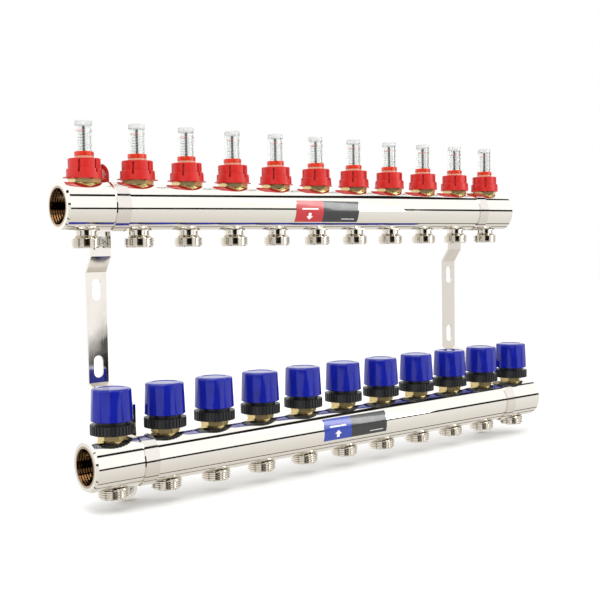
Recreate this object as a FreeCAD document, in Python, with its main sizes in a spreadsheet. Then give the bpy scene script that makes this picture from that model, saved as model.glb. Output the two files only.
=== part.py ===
"""Underfloor heating manifold: two nickel-plated brass bars on a pair of wall brackets.

The supply bar is on top, with a flow meter for each circuit, and the return bar is below and
further from the wall, with a hand-operated valve for each circuit.

Frame: +X along the bars, +Y towards the wall, +Z up. The origin is on the wall plane, half way
along the bars and half way up between them. Millimetres.
"""
import math
import os

import FreeCAD
import Part

import Sketcher
from FreeCAD import Placement, Rotation, Vector

os.makedirs("parts", exist_ok=True)
doc = FreeCAD.newDocument("manifold")

# ---------------------------------------------------------------- driving dimensions
DIMENSIONS = {
    # layout
    "outlet_count": 11,
    "outlet_pitch": 50,
    "end_margin": 25,
    "bar_spacing": 210,
    "bar_stagger": 37,
    "wall_distance": 35,
    # bars
    "bar_diameter": 43,
    "bar_flats": 39,
    "bar_chamfer": 1.6,
    "passage_diameter": 28,
    "end_thread_major": 33.25,
    "end_thread_minor": 30.3,
    "end_thread_pitch": 2.309,
    "end_thread_turns": 7,
    "port_clearance": 0.05,
    "seal_wire": 1.44,
    "seal_clearance": 0.06,
    "seal_drop": 2,
    # outlet nipples
    "nipple_spigot": 17,
    "spigot_bore": 13,
    "nipple_bore": 12,
    "nipple_mouth": 17,
    "nipple_mouth_depth": 4,
    "nipple_flange": 22.5,
    "nipple_flange_thickness": 0.5,
    "supply_neck": 18,
    "supply_neck_length": 4.1,
    "supply_shoulder": 2.2,
    "return_shoulder": 0.3,
    "nipple_thread_major": 26.44,
    "nipple_thread_minor": 24.12,
    "nipple_thread_pitch": 1.814,
    "nipple_thread_turns": 4,
    "nipple_lead_in": 1,
    # valve inserts and flow meter bodies
    "insert_spigot": 20.9,
    "wall_reach": 5,
    "meter_hex": 23.5,
    "meter_hex_height": 3.7,
    "meter_neck": 19,
    "meter_neck_top": 17,
    "meter_bore": 8.4,
    "meter_stem": 13,
    "meter_stem_end": 10,
    "valve_hex": 21,
    "valve_hex_height": 4.9,
    "valve_neck": 18,
    "valve_neck_top": 14,
    "valve_stem": 10,
    # lock rings
    "lock_skirt": 30.3,
    "lock_skirt_height": 8.1,
    "lock_draft": 0.3,
    "lock_body": 27,
    "lock_top": 20.3,
    "lock_roof": 2.5,
    "lock_slot": 1.2,
    "lock_tab_span": 36,
    "lock_tab_width": 7,
    "lock_tab_thickness": 1,
    "running_gap": 0.4,
    # sight glasses
    "collar_diameter": 16.5,
    "collar_bore": 12.4,
    "collar_top": 26.2,
    "tube_diameter": 14.5,
    "tube_bore": 11.2,
    "tube_top": 52,
    "tube_roof": 1.6,
    # flow indicators
    "rod_diameter": 2.2,
    "rod_top": 47.5,
    "rod_guide_clearance": 0.06,
    "rod_seat_height": 23.6,
    "rod_seat_diameter": 7.8,
    "rod_seat_thickness": 1,
    "plate_diameter": 11,
    "plate_thickness": 1.6,
    "plate_height": 7,
    "guide_thickness": 3,
    "meter_wire": 0.5,
    "meter_coil": 6.4,
    "meter_coils": 9,
    # collar nuts and caps
    "nut_diameter": 36,
    "nut_height": 7.8,
    "nut_ribs": 36,
    "nut_rib_depth": 0.9,
    "nut_rib_gap": 1.4,
    "nut_neck": 27,
    "nut_neck_top": 24,
    "nut_bore": 14,
    "nut_floor": 3,
    "cap_foot": 34.7,
    "cap_crown": 32.9,
    "cap_lift": 3.1,
    "cap_top": 42.4,
    "cap_roof": 3.4,
    "cap_bore": 29,
    "cap_boss": 8,
    "cap_edges": 12,
    "cap_chamfer": 1.6,
    # valve spindles
    "spindle_diameter": 5,
    "spindle_top": 27,
    "spindle_fit": 0.05,
    "spindle_gap": 0.1,
    "spindle_clip": 9.6,
    "spindle_clip_height": 23,
    "spindle_clip_thickness": 1,
    "disc_diameter": 15,
    "disc_thickness": 2.4,
    "disc_lift": 2.6,
    "valve_wire": 0.8,
    "valve_coil": 8.2,
    "valve_coils": 5,
    # wall brackets and clamps
    "bracket_inset": 25,
    "strip_width": 19,
    "strip_thickness": 2.5,
    "strip_overhang": 39,
    "strip_gap": 1,
    "wall_land": 50,
    "supply_bend": 14,
    "return_bend": 15,
    "slot_width": 9,
    "slot_length": 19.5,
    "slot_spacing": 68,
    "clamp_width": 13,
    "clamp_thickness": 1.2,
    "clamp_reach": 36,
    "clamp_hole_offset": 29,
    "screw_diameter": 5,
    "screw_clearance": 0.25,
    "screw_head": 8.6,
    "screw_head_height": 2.6,
    "screw_recess": 1.1,
    "screw_tail": 2,
    "clamp_nut_width": 8,
    "clamp_nut_height": 4,
    # labels
    "label_length": 79.4,
    "label_offset": 2.4,
    "label_thickness": 0.2,
    "label_sweep": 56,
    "label_tilt": 7,
}

sheet = doc.addObject("Spreadsheet::Sheet", "size")
for row, (alias, number) in enumerate(DIMENSIONS.items(), start=1):
    sheet.set(f"A{row}", alias)
    sheet.set(f"B{row}", str(number))
    sheet.setAlias(f"B{row}", alias)
doc.recompute()

AXES = {
    "X": Rotation(Vector(0, 1, 0), 90),
    "Y": Rotation(Vector(1, 0, 0), -90),
    "Z": Rotation(),
}

# Heights that several pieces share, as expressions of the driving dimensions. Those of a circuit
# are measured from the axis of its bar.
FLAT = "size.bar_flats / 2"
BAR_RADIUS = "size.bar_diameter / 2"
BAR_LENGTH = "((size.outlet_count - 1) * size.outlet_pitch + 2 * size.end_margin)"
SPIGOT_END = f"({FLAT} - size.wall_reach)"
SUPPLY_Y = "-size.wall_distance"
SUPPLY_Z = "size.bar_spacing / 2"
RETURN_Y = "(-size.wall_distance - size.bar_stagger)"
RETURN_Z = "-size.bar_spacing / 2"
NUT_TOP = "(size.valve_hex_height + size.nut_height)"
CAP_BOTTOM = f"({NUT_TOP} + size.cap_lift)"


def value(expression):
    """The number that an expression of the driving dimensions comes to."""
    return float(sheet.evalExpression(expression))


def above_flat(height):
    """The height above a bar's axis of a point given above the bar's flat."""
    return f"({FLAT} + {height})"


# ---------------------------------------------------------------- modelling helpers
def bind(thing, **expressions):
    """Sets an object's properties from expressions."""
    for name, expression in expressions.items():
        thing.setExpression(name, expression)
    return thing


def put(thing, x="0", y="0", z="0", axis="Z"):
    """Places an object at a point given as expressions, with its own Z along an axis."""
    thing.Placement = Placement(Vector(), AXES[axis])
    thing.setExpression("Placement.Base.x", x)
    thing.setExpression("Placement.Base.y", y)
    thing.setExpression("Placement.Base.z", z)
    return thing


def cylinder(name, radius, height, **place):
    """A cylinder from expressions for its radius and height."""
    solid = bind(doc.addObject("Part::Cylinder", name), Radius=radius, Height=height)
    return put(solid, **place)


def block(name, length, width, height, x="0", y="0", z="0"):
    """A box centred on x and y, standing on z, from expressions."""
    solid = bind(doc.addObject("Part::Box", name), Length=length, Width=width, Height=height)
    return put(solid, x=f"{x} - ({length}) / 2", y=f"{y} - ({width}) / 2", z=z)


def hexagon(name, across_flats, height, z="0", **place):
    """A hexagonal prism from its width across flats."""
    solid = doc.addObject("Part::Prism", name)
    solid.Polygon = 6
    bind(solid, Circumradius=f"({across_flats}) / 2 / cos(30)", Height=height)
    return put(solid, z=z, **place)


def fuse(name, *shapes):
    """One solid from several that meet."""
    joined = doc.addObject("Part::MultiFuse", name)
    joined.Shapes = list(shapes)
    joined.Refine = True
    return joined


def cut(name, base, *tools):
    """A base with tools taken away from it."""
    result = doc.addObject("Part::Cut", name)
    result.Base = base
    result.Tool = tools[0] if len(tools) == 1 else group(f"{name}_tools", *tools)
    return result


def common(name, *shapes):
    """What several solids have in common."""
    result = doc.addObject("Part::MultiCommon", name)
    result.Shapes = list(shapes)
    return result


def group(name, *shapes):
    """Separate solids kept side by side in one object."""
    result = doc.addObject("Part::Compound", name)
    result.Links = list(shapes)
    return result


def plane_of(body, role):
    """A body's own origin plane."""
    return next(item for item in body.Origin.OriginFeatures if item.Role == role)


def outline_sketch(body, name, plane, points):
    """A closed outline of straight lines on one of a body's origin planes.

    Each point is a pair of expressions, and each is held by two dimensions bound to them.
    """
    sketch = body.newObject("Sketcher::SketchObject", name)
    sketch.AttachmentSupport = [(plane_of(body, plane), "")]
    sketch.MapMode = "FlatFace"
    corners = [Vector(value(across), value(up), 0) for across, up in points]
    for number, corner in enumerate(corners):
        following = corners[(number + 1) % len(corners)]
        sketch.addGeometry(Part.LineSegment(corner, following), False)
    for number in range(len(corners)):
        following = (number + 1) % len(corners)
        sketch.addConstraint(Sketcher.Constraint("Coincident", number, 2, following, 1))
    for number, (across, up) in enumerate(points):
        for kind, expression in (("DistanceX", across), ("DistanceY", up)):
            constraint = Sketcher.Constraint(kind, number, 1, value(expression))
            index = sketch.addConstraint(constraint)
            sketch.setExpression(f"Constraints[{index}]", expression)
    return sketch


def turned(name, points, plane="XZ_Plane", axis="V_Axis"):
    """A solid of revolution from an outline of (radius, height) expressions."""
    body = doc.addObject("PartDesign::Body", name)
    sketch = outline_sketch(body, f"{name}_outline", plane, points)
    revolution = body.newObject("PartDesign::Revolution", f"{name}_turn")
    revolution.Profile = sketch
    revolution.ReferenceAxis = (sketch, [axis])
    revolution.Angle = 360
    sketch.Visibility = False
    return body


def thread_outline(major, minor, pitch, turns, start, direction):
    """A thread drawn as rings: each turn is a flank, a flat, a flank and a flat, a quarter each."""
    points = []
    for turn in range(int(value(turns))):
        quarters = zip((minor, major, major, minor), (0, 0.25, 0.5, 0.75))
        for diameter, quarter in quarters:
            points.append((f"({diameter}) / 2", f"{start} {direction} {turn + quarter} * ({pitch})"))
    points.append((f"({minor}) / 2", f"{start} {direction} ({turns}) * ({pitch})"))
    return points


def spring(name, coil, wire, coils, bottom, top):
    """A compression spring between two heights above the bar's flat.

    Each half turn is half a ring, tilted so that its far end is half a pitch above its near end.
    The ends of all the halves point straight along Y, so each runs smoothly into the next.
    """
    rise = f"(({top} - {bottom} - {wire}) / ({coils}) / 2)"
    tilt = math.degrees(math.atan2(value(rise), value(coil)))
    halves = []
    for number in range(2 * int(value(coils))):
        half = bind(
            doc.addObject("Part::Torus", f"{name}_half_{number + 1:02d}"),
            Radius1=f"sqrt(({coil}) ^ 2 + {rise} ^ 2) / 2",
            Radius2=f"({wire}) / 2",
        )
        half.Angle3 = 180
        side = -1 if number % 2 else 1
        lean = Rotation(Vector(0, 1, 0), side * tilt)
        half.Placement = Placement(Vector(), lean * Rotation(Vector(0, 0, 1), 90 - 90 * side))
        half.setExpression("Placement.Base.z", above_flat(f"{bottom} + ({wire}) / 2 + {number + 0.5} * {rise}"))
        halves.append(half)
    return fuse(name, *halves)


def circuit_x(number):
    """The place of a circuit along the bars, counted from 1 at the left."""
    return f"({number} - (size.outlet_count + 1) / 2) * size.outlet_pitch"


CIRCUITS = range(1, int(value("size.outlet_count")) + 1)
nodes = {}


def copy_of(master, name, x, y, z):
    """A copy of a master piece at a place given as expressions."""
    return put(group(name, master), x=x, y=y, z=z)


def on_each_circuit(master, bar):
    """Copies of a master piece on every circuit of one bar."""
    y, z = (SUPPLY_Y, SUPPLY_Z) if bar == "supply" else (RETURN_Y, RETURN_Z)
    return [
        copy_of(master, f"{master.Name}_{bar}_{number:02d}", circuit_x(number), y, z)
        for number in CIRCUITS
    ]


def node_per_circuit(name, master, bar):
    """One node for each circuit, because each of these pieces moves on its own."""
    for number, piece in zip(CIRCUITS, on_each_circuit(master, bar)):
        nodes[f"{name}_{number:02d}"] = piece


def node_of_group(name, *pieces):
    """One node that holds several identical pieces."""
    nodes[name] = group(name, *pieces)


# ---------------------------------------------------------------- bars
def bar(name, y, z):
    """A brass bar with flats, end threads and a port on top and below at every circuit."""
    body = doc.addObject("PartDesign::Body", f"{name}_body")
    ends = {"left": f"-{BAR_LENGTH} / 2", "right": f"{BAR_LENGTH} / 2"}
    outline = [
        (ends["left"], "0"),
        (ends["left"], f"{BAR_RADIUS} - size.bar_chamfer"),
        (f"{ends['left']} + size.bar_chamfer", BAR_RADIUS),
        (f"{ends['right']} - size.bar_chamfer", BAR_RADIUS),
        (ends["right"], f"{BAR_RADIUS} - size.bar_chamfer"),
        (ends["right"], "0"),
    ]
    sketch = outline_sketch(body, f"{name}_outline", "XZ_Plane", outline)
    turn = body.newObject("PartDesign::Revolution", f"{name}_turn")
    turn.Profile = sketch
    turn.ReferenceAxis = (sketch, ["H_Axis"])
    turn.Angle = 360

    bore = [
        (ends["left"], "0"),
        *[(x, radius) for radius, x in thread_outline(
            "size.end_thread_major", "size.end_thread_minor", "size.end_thread_pitch",
            "size.end_thread_turns", ends["left"], "+")],
        (f"{ends['left']} + size.end_thread_turns * size.end_thread_pitch", "size.passage_diameter / 2"),
        (f"{ends['right']} - size.end_thread_turns * size.end_thread_pitch", "size.passage_diameter / 2"),
        *reversed([(x, radius) for radius, x in thread_outline(
            "size.end_thread_major", "size.end_thread_minor", "size.end_thread_pitch",
            "size.end_thread_turns", ends["right"], "-")]),
        (ends["right"], "0"),
    ]
    bore_sketch = outline_sketch(body, f"{name}_bore_outline", "XZ_Plane", bore)
    groove = body.newObject("PartDesign::Groove", f"{name}_bore")
    groove.Profile = bore_sketch
    groove.ReferenceAxis = (bore_sketch, ["H_Axis"])
    groove.Angle = 360

    slab = block(f"{name}_slab", BAR_LENGTH, "size.bar_diameter", "size.bar_flats", z=f"-{FLAT}")
    flatted = common(f"{name}_flatted", body, slab)
    ports = []
    for number in CIRCUITS:
        top = cylinder(
            f"{name}_top_port_{number:02d}", "size.insert_spigot / 2 + size.port_clearance",
            FLAT, x=circuit_x(number))
        bottom = cylinder(
            f"{name}_bottom_port_{number:02d}", "size.nipple_spigot / 2 + size.port_clearance",
            FLAT, x=circuit_x(number), z=f"-{FLAT}")
        ports += [top, bottom]
    drilled = cut(f"{name}_drilled", flatted, *ports)
    nodes[name] = put(group(name, drilled), y=y, z=z)


bar("supply_bar", SUPPLY_Y, SUPPLY_Z)
bar("return_bar", RETURN_Y, RETURN_Z)


# ---------------------------------------------------------------- seals
SEAL_DEPTH = "(size.seal_wire + size.seal_clearance)"
SEAL_ROOM = "(size.seal_wire / 2 + size.seal_clearance)"
TOP_SEAL = f"({FLAT} - size.seal_drop)"
BOTTOM_SEAL = f"(-{FLAT} + size.seal_drop)"


def seal(name, spigot, height):
    """An O-ring in the groove of a spigot, centred on a height above the bar's axis."""
    ring = bind(
        doc.addObject("Part::Torus", name),
        Radius1=f"({spigot}) / 2 - ({SEAL_DEPTH}) / 2",
        Radius2="size.seal_wire / 2",
    )
    return put(ring, z=height)


def spigot_outline(spigot, end, seal_height, up):
    """The outside of a spigot with its seal groove, from its end towards the flat."""
    outward = "+" if up else "-"
    inward = "-" if up else "+"
    return [
        (f"({spigot}) / 2", end),
        (f"({spigot}) / 2", f"{seal_height} {inward} {SEAL_ROOM}"),
        (f"({spigot}) / 2 - {SEAL_DEPTH}", f"{seal_height} {inward} {SEAL_ROOM}"),
        (f"({spigot}) / 2 - {SEAL_DEPTH}", f"{seal_height} {outward} {SEAL_ROOM}"),
        (f"({spigot}) / 2", f"{seal_height} {outward} {SEAL_ROOM}"),
        (f"({spigot}) / 2", FLAT if up else f"-{FLAT}"),
    ]


# ---------------------------------------------------------------- outlet nipples
FLANGE_END = f"(-{FLAT} - size.nipple_flange_thickness)"
SUPPLY_NECK_END = f"({FLANGE_END} - size.supply_neck_length)"


def nipple(name, neck, thread_start):
    """An outlet nipple with a cone seat in its mouth and its thread outside.

    The neck is the part of its outline between its flange and where the thread starts.
    """
    thread_end = f"({thread_start} - size.nipple_thread_turns * size.nipple_thread_pitch)"
    foot = f"({thread_end} - size.nipple_lead_in)"
    threads = thread_outline(
        "size.nipple_thread_major", "size.nipple_thread_minor", "size.nipple_thread_pitch",
        "size.nipple_thread_turns", thread_start, "-")
    return turned(name, [
        ("size.spigot_bore / 2", f"-{SPIGOT_END}"),
        *spigot_outline("size.nipple_spigot", f"-{SPIGOT_END}", BOTTOM_SEAL, up=False),
        ("size.nipple_flange / 2", f"-{FLAT}"),
        ("size.nipple_flange / 2", FLANGE_END),
        *neck,
        *threads,
        ("size.nipple_thread_minor / 2 - size.nipple_lead_in / 2", foot),
        ("size.nipple_mouth / 2", foot),
        ("size.nipple_bore / 2", f"{foot} + size.nipple_mouth_depth"),
        ("size.nipple_bore / 2", f"-{FLAT}"),
        ("size.spigot_bore / 2", f"-{FLAT}"),
    ])


SUPPLY_NECK = [("size.supply_neck / 2", FLANGE_END), ("size.supply_neck / 2", SUPPLY_NECK_END)]
supply_nipple = nipple("supply_nipple", SUPPLY_NECK, f"({SUPPLY_NECK_END} - size.supply_shoulder)")
return_nipple = nipple("return_nipple", [], f"({FLANGE_END} - size.return_shoulder)")
node_of_group(
    "outlet_nipples",
    *on_each_circuit(supply_nipple, "supply"),
    *on_each_circuit(return_nipple, "return"))


# ---------------------------------------------------------------- flow meters
METER_GUIDE = f"({SPIGOT_END} - size.guide_thickness)"
ROD_HOLE = "(size.rod_diameter / 2 + size.rod_guide_clearance)"
STEM_END = "size.meter_stem_end"


def flow_meter_body():
    """The brass body of a flow meter: spigot, hexagon, and the neck that the lock ring clips on."""
    turned_part = turned("flow_meter_body_turned", [
        (ROD_HOLE, STEM_END),
        ("size.meter_stem / 2", STEM_END),
        ("size.meter_stem / 2", SPIGOT_END),
        *spigot_outline("size.insert_spigot", SPIGOT_END, TOP_SEAL, up=True),
        ("size.meter_neck / 2", FLAT),
        ("size.meter_neck / 2", above_flat("size.meter_neck_top")),
        ("size.meter_bore / 2", above_flat("size.meter_neck_top")),
        ("size.meter_bore / 2", f"{STEM_END} + size.guide_thickness"),
        (ROD_HOLE, f"{STEM_END} + size.guide_thickness"),
    ])
    nut = hexagon("flow_meter_hex", "size.meter_hex", "size.meter_hex_height", z=FLAT)
    clearance = cylinder(
        "flow_meter_hex_bore", "(size.meter_bore + size.meter_neck) / 4", "size.meter_hex_height", z=FLAT)
    return fuse("flow_meter_body", turned_part, cut("flow_meter_hex_ring", nut, clearance))


node_of_group("flow_meter_bodies", *on_each_circuit(flow_meter_body(), "supply"))


def lock_ring():
    """The red ring that clips over a flow meter: a stepped shell with six slits and two tabs."""
    bottom = above_flat("size.meter_hex_height")
    step = above_flat("size.meter_hex_height + size.lock_skirt_height")
    roof = above_flat("size.lock_top - size.lock_roof")
    top = above_flat("size.lock_top")
    inside = "(size.meter_neck / 2 + size.running_gap)"
    shell = turned("lock_ring_shell", [
        (inside, bottom),
        ("size.lock_skirt / 2", bottom),
        ("size.lock_skirt / 2 - size.lock_draft", step),
        ("size.lock_body / 2", step),
        ("size.lock_body / 2", top),
        ("size.collar_diameter / 2 + size.running_gap", top),
        ("size.collar_diameter / 2 + size.running_gap", roof),
        (inside, roof),
    ])
    tab = block(
        "lock_ring_tab", "size.lock_tab_span", "size.lock_tab_width", "size.lock_tab_thickness", z=bottom)
    tab_hole = cylinder("lock_ring_tab_hole", "size.lock_body / 2 - 1", "size.lock_tab_thickness", z=bottom)
    body = fuse("lock_ring_body", shell, cut("lock_ring_tabs", tab, tab_hole))
    slit_height = "(size.lock_top - size.lock_roof - size.meter_hex_height - size.lock_skirt_height / 2)"
    slit_foot = above_flat("size.meter_hex_height + size.lock_skirt_height / 2")
    slits = []
    for number, turn in enumerate((30, 90, 150)):
        slit = bind(
            doc.addObject("Part::Box", f"lock_ring_slit_{number}"),
            Length="size.lock_skirt + 2", Width="size.lock_slot", Height=slit_height)
        half = Vector(value("size.lock_skirt") / 2 + 1, value("size.lock_slot") / 2, 0)
        rotation = Rotation(Vector(0, 0, 1), turn)
        slit.Placement = Placement(-rotation.multVec(half), rotation)
        slit.setExpression("Placement.Base.z", slit_foot)
        slits.append(slit)
    return cut("lock_ring", body, *slits)


node_of_group("lock_rings", *on_each_circuit(lock_ring(), "supply"))


def sight_glass():
    """A clear sight glass standing in its collar, which turns as one to set the flow."""
    seat = above_flat("size.meter_neck_top + size.spindle_gap")
    collar_top = above_flat("size.collar_top")
    tube_top = above_flat("size.tube_top")
    collar = turned("sight_glass_collar", [
        ("size.collar_bore / 2", seat),
        ("size.collar_diameter / 2", seat),
        ("size.collar_diameter / 2", collar_top),
        ("size.collar_bore / 2", collar_top),
    ])
    tube = turned("sight_glass_tube", [
        ("size.tube_bore / 2", collar_top),
        ("size.tube_diameter / 2", collar_top),
        ("size.tube_diameter / 2", f"{tube_top} - 1"),
        ("size.tube_diameter / 2 - 1", tube_top),
        ("0", tube_top),
        ("0", f"{tube_top} - size.tube_roof"),
        ("size.tube_bore / 2", f"{tube_top} - size.tube_roof"),
    ])
    return group("sight_glass", collar, tube)


node_per_circuit("sight_glass", sight_glass(), "supply")


def flow_indicator():
    """The rod that shows the flow, with its spring seat above and its flow plate below."""
    seat = above_flat("size.rod_seat_height")
    rod = "size.rod_diameter / 2"
    return turned("flow_indicator", [
        ("0", "size.plate_height"),
        ("size.plate_diameter / 2", "size.plate_height"),
        ("size.plate_diameter / 2", "size.plate_height + size.plate_thickness"),
        (rod, "size.plate_height + size.plate_thickness"),
        (rod, seat),
        ("size.rod_seat_diameter / 2", seat),
        ("size.rod_seat_diameter / 2", f"{seat} + size.rod_seat_thickness"),
        (rod, f"{seat} + size.rod_seat_thickness"),
        (rod, above_flat("size.rod_top")),
        ("0", above_flat("size.rod_top")),
    ])


node_per_circuit("flow_indicator", flow_indicator(), "supply")
METER_SPRING_FOOT = f"({STEM_END} + size.guide_thickness - {FLAT})"
meter_spring = spring(
    "indicator_spring", "size.meter_coil", "size.meter_wire", "size.meter_coils",
    METER_SPRING_FOOT, "size.rod_seat_height")
node_of_group("indicator_springs", *on_each_circuit(meter_spring, "supply"))


# ---------------------------------------------------------------- return valves
SPINDLE_HOLE = "(size.spindle_diameter / 2 + size.spindle_fit)"


def valve_insert():
    """The brass insert of a return valve: spigot, hexagon and the neck under the collar nut."""
    turned_part = turned("valve_insert_turned", [
        (SPINDLE_HOLE, STEM_END),
        ("size.valve_stem / 2", STEM_END),
        ("size.valve_stem / 2", SPIGOT_END),
        *spigot_outline("size.insert_spigot", SPIGOT_END, TOP_SEAL, up=True),
        ("size.valve_neck / 2", FLAT),
        ("size.valve_neck / 2", above_flat(f"{NUT_TOP} - size.nut_floor")),
        ("size.nut_bore / 2 - 1", above_flat(f"{NUT_TOP} - size.nut_floor")),
        ("size.nut_bore / 2 - 1", above_flat("size.valve_neck_top")),
        (SPINDLE_HOLE, above_flat("size.valve_neck_top")),
    ])
    nut = hexagon("valve_hex", "size.valve_hex", "size.valve_hex_height", z=FLAT)
    clearance = cylinder("valve_hex_bore", "size.valve_neck / 3", "size.valve_hex_height", z=FLAT)
    return fuse("valve_insert", turned_part, cut("valve_hex_ring", nut, clearance))


node_of_group("valve_inserts", *on_each_circuit(valve_insert(), "return"))


def collar_nut():
    """The black ribbed nut that holds a hand cap on its valve insert."""
    bottom = above_flat("size.valve_hex_height")
    floor = above_flat(f"{NUT_TOP} - size.nut_floor")
    top = above_flat(NUT_TOP)
    inside = "(size.valve_neck / 2 + size.port_clearance)"
    body = turned("collar_nut_turned", [
        (inside, bottom),
        ("size.nut_diameter / 2", bottom),
        ("size.nut_diameter / 2", top),
        ("size.nut_neck / 2", top),
        ("size.nut_neck / 2", above_flat("size.nut_neck_top")),
        ("size.nut_bore / 2", above_flat("size.nut_neck_top")),
        ("size.nut_bore / 2", floor),
        (inside, floor),
    ])
    doc.recompute()
    gap = body.newObject("Sketcher::SketchObject", "collar_nut_gap_outline")
    gap.AttachmentSupport = [(plane_of(body, "XY_Plane"), "")]
    gap.MapMode = "FlatFace"
    inner = value("size.nut_diameter") / 2 - value("size.nut_rib_depth")
    outer = value("size.nut_diameter") / 2 + 1
    half = value("size.nut_rib_gap") / 2
    corners = [Vector(inner, -half), Vector(outer, -half), Vector(outer, half), Vector(inner, half)]
    for number, corner in enumerate(corners):
        gap.addGeometry(Part.LineSegment(corner, corners[(number + 1) % 4]), False)
    for number in range(4):
        gap.addConstraint(Sketcher.Constraint("Coincident", number, 2, (number + 1) % 4, 1))
    bounds = (
        (0, 1, "DistanceX", "size.nut_diameter / 2 - size.nut_rib_depth"),
        (0, 1, "DistanceY", "-size.nut_rib_gap / 2"),
        (2, 1, "DistanceX", "size.nut_diameter / 2 + 1"),
        (2, 1, "DistanceY", "size.nut_rib_gap / 2"),
    )
    for line, end, kind, expression in bounds:
        index = gap.addConstraint(Sketcher.Constraint(kind, line, end, value(expression)))
        gap.setExpression(f"Constraints[{index}]", expression)
    for line, kind in ((0, "Horizontal"), (1, "Vertical"), (2, "Horizontal"), (3, "Vertical")):
        gap.addConstraint(Sketcher.Constraint(kind, line))
    pocket = body.newObject("PartDesign::Pocket", "collar_nut_gap")
    pocket.Profile = gap
    pocket.Type = "Length"
    pocket.Reversed = True
    pocket.setExpression("Length", above_flat(NUT_TOP) + " + 1")
    pattern = body.newObject("PartDesign::PolarPattern", "collar_nut_gaps")
    pattern.Originals = [pocket]
    pattern.Axis = (gap, ["N_Axis"])
    pattern.Angle = 360
    pattern.setExpression("Occurrences", "size.nut_ribs")
    body.Tip = pattern
    return body


node_of_group("cap_collar_nuts", *on_each_circuit(collar_nut(), "return"))


def hand_cap():
    """The blue hand cap: a round foot that draws up into a many-sided crown, hollow inside."""
    foot_height = value(above_flat(CAP_BOTTOM))
    edge_height = value(above_flat("size.cap_top - size.cap_chamfer"))
    top_height = value(above_flat("size.cap_top"))
    edges = int(value("size.cap_edges"))
    foot_radius = value("size.cap_foot / 2")
    crown_radius = value("size.cap_crown / 2")
    inset = value("size.cap_chamfer")

    def ring(radius, height):
        """A closed polygon with the crown's number of sides."""
        corners = []
        for side in range(edges):
            turn = Rotation(Vector(0, 0, 1), 360 * side / edges)
            corners.append(turn.multVec(Vector(radius, 0, 0)) + Vector(0, 0, height))
        return Part.makePolygon(corners + corners[:1])

    foot = Part.Wire(Part.makeCircle(foot_radius, Vector(0, 0, foot_height)))
    crown = ring(crown_radius, edge_height)
    lid = ring(crown_radius - inset, top_height)
    skirt = Part.makeLoft([foot, crown], True, True)
    shell = skirt.fuse(Part.makeLoft([crown, lid], True, True))
    cavity_top = top_height - value("size.cap_roof")
    centre = Vector(0, 0, foot_height)
    cavity = Part.makeCylinder(value("size.cap_bore / 2"), cavity_top - foot_height, centre)
    boss_foot = value(above_flat("size.spindle_top + size.spindle_gap"))
    boss = Part.makeCylinder(value("size.cap_boss / 2"), cavity_top - boss_foot, Vector(0, 0, boss_foot))
    feature = doc.addObject("Part::Feature", "hand_cap")
    feature.Shape = shell.cut(cavity.cut(boss)).removeSplitter()
    return feature


node_per_circuit("blue_cap", hand_cap(), "return")


def valve_spindle():
    """The spindle that the cap pushes down, with its spring clip and its rubber valve disc."""
    disc_top = f"(-{SPIGOT_END} + size.disc_lift + size.disc_thickness)"
    clip = above_flat("size.spindle_clip_height")
    pin = "size.spindle_diameter / 2"
    rod = turned("valve_spindle_rod", [
        ("0", disc_top),
        (pin, disc_top),
        (pin, clip),
        ("size.spindle_clip / 2", clip),
        ("size.spindle_clip / 2", f"{clip} + size.spindle_clip_thickness"),
        (pin, f"{clip} + size.spindle_clip_thickness"),
        (pin, above_flat("size.spindle_top")),
        ("0", above_flat("size.spindle_top")),
    ])
    disc = cylinder(
        "valve_disc", "size.disc_diameter / 2", "size.disc_thickness",
        z=f"-{SPIGOT_END} + size.disc_lift")
    return group("valve_spindle", rod, disc)


node_per_circuit("valve_spindle", valve_spindle(), "return")
valve_spring = spring(
    "valve_spring", "size.valve_coil", "size.valve_wire", "size.valve_coils",
    "size.valve_neck_top", "size.spindle_clip_height")
node_of_group("valve_springs", *on_each_circuit(valve_spring, "return"))

top_seal = seal("top_seal", "size.insert_spigot", TOP_SEAL)
bottom_seal = seal("bottom_seal", "size.nipple_spigot", BOTTOM_SEAL)
node_of_group("port_o_rings", *[
    copy
    for master in (top_seal, bottom_seal)
    for place in ("supply", "return")
    for copy in on_each_circuit(master, place)
])


# ---------------------------------------------------------------- wall brackets
BRACKET_X = f"({BAR_LENGTH} / 2 - size.end_margin - size.bracket_inset)"
STRIP_FRONT = "(size.bar_diameter / 2 + size.strip_gap)"
STRIP_BACK = f"({STRIP_FRONT} + size.strip_thickness)"
STRIP_TOP = f"({SUPPLY_Z} + size.strip_overhang)"
STRIP_BOTTOM = f"({RETURN_Z} - size.strip_overhang)"


def mitre(run, drop):
    """How far the outer corner of a bent strip is from the inner one, along the strip."""
    return f"size.strip_thickness * tan(atan(({run}) / ({drop})) / 2)"


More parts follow.
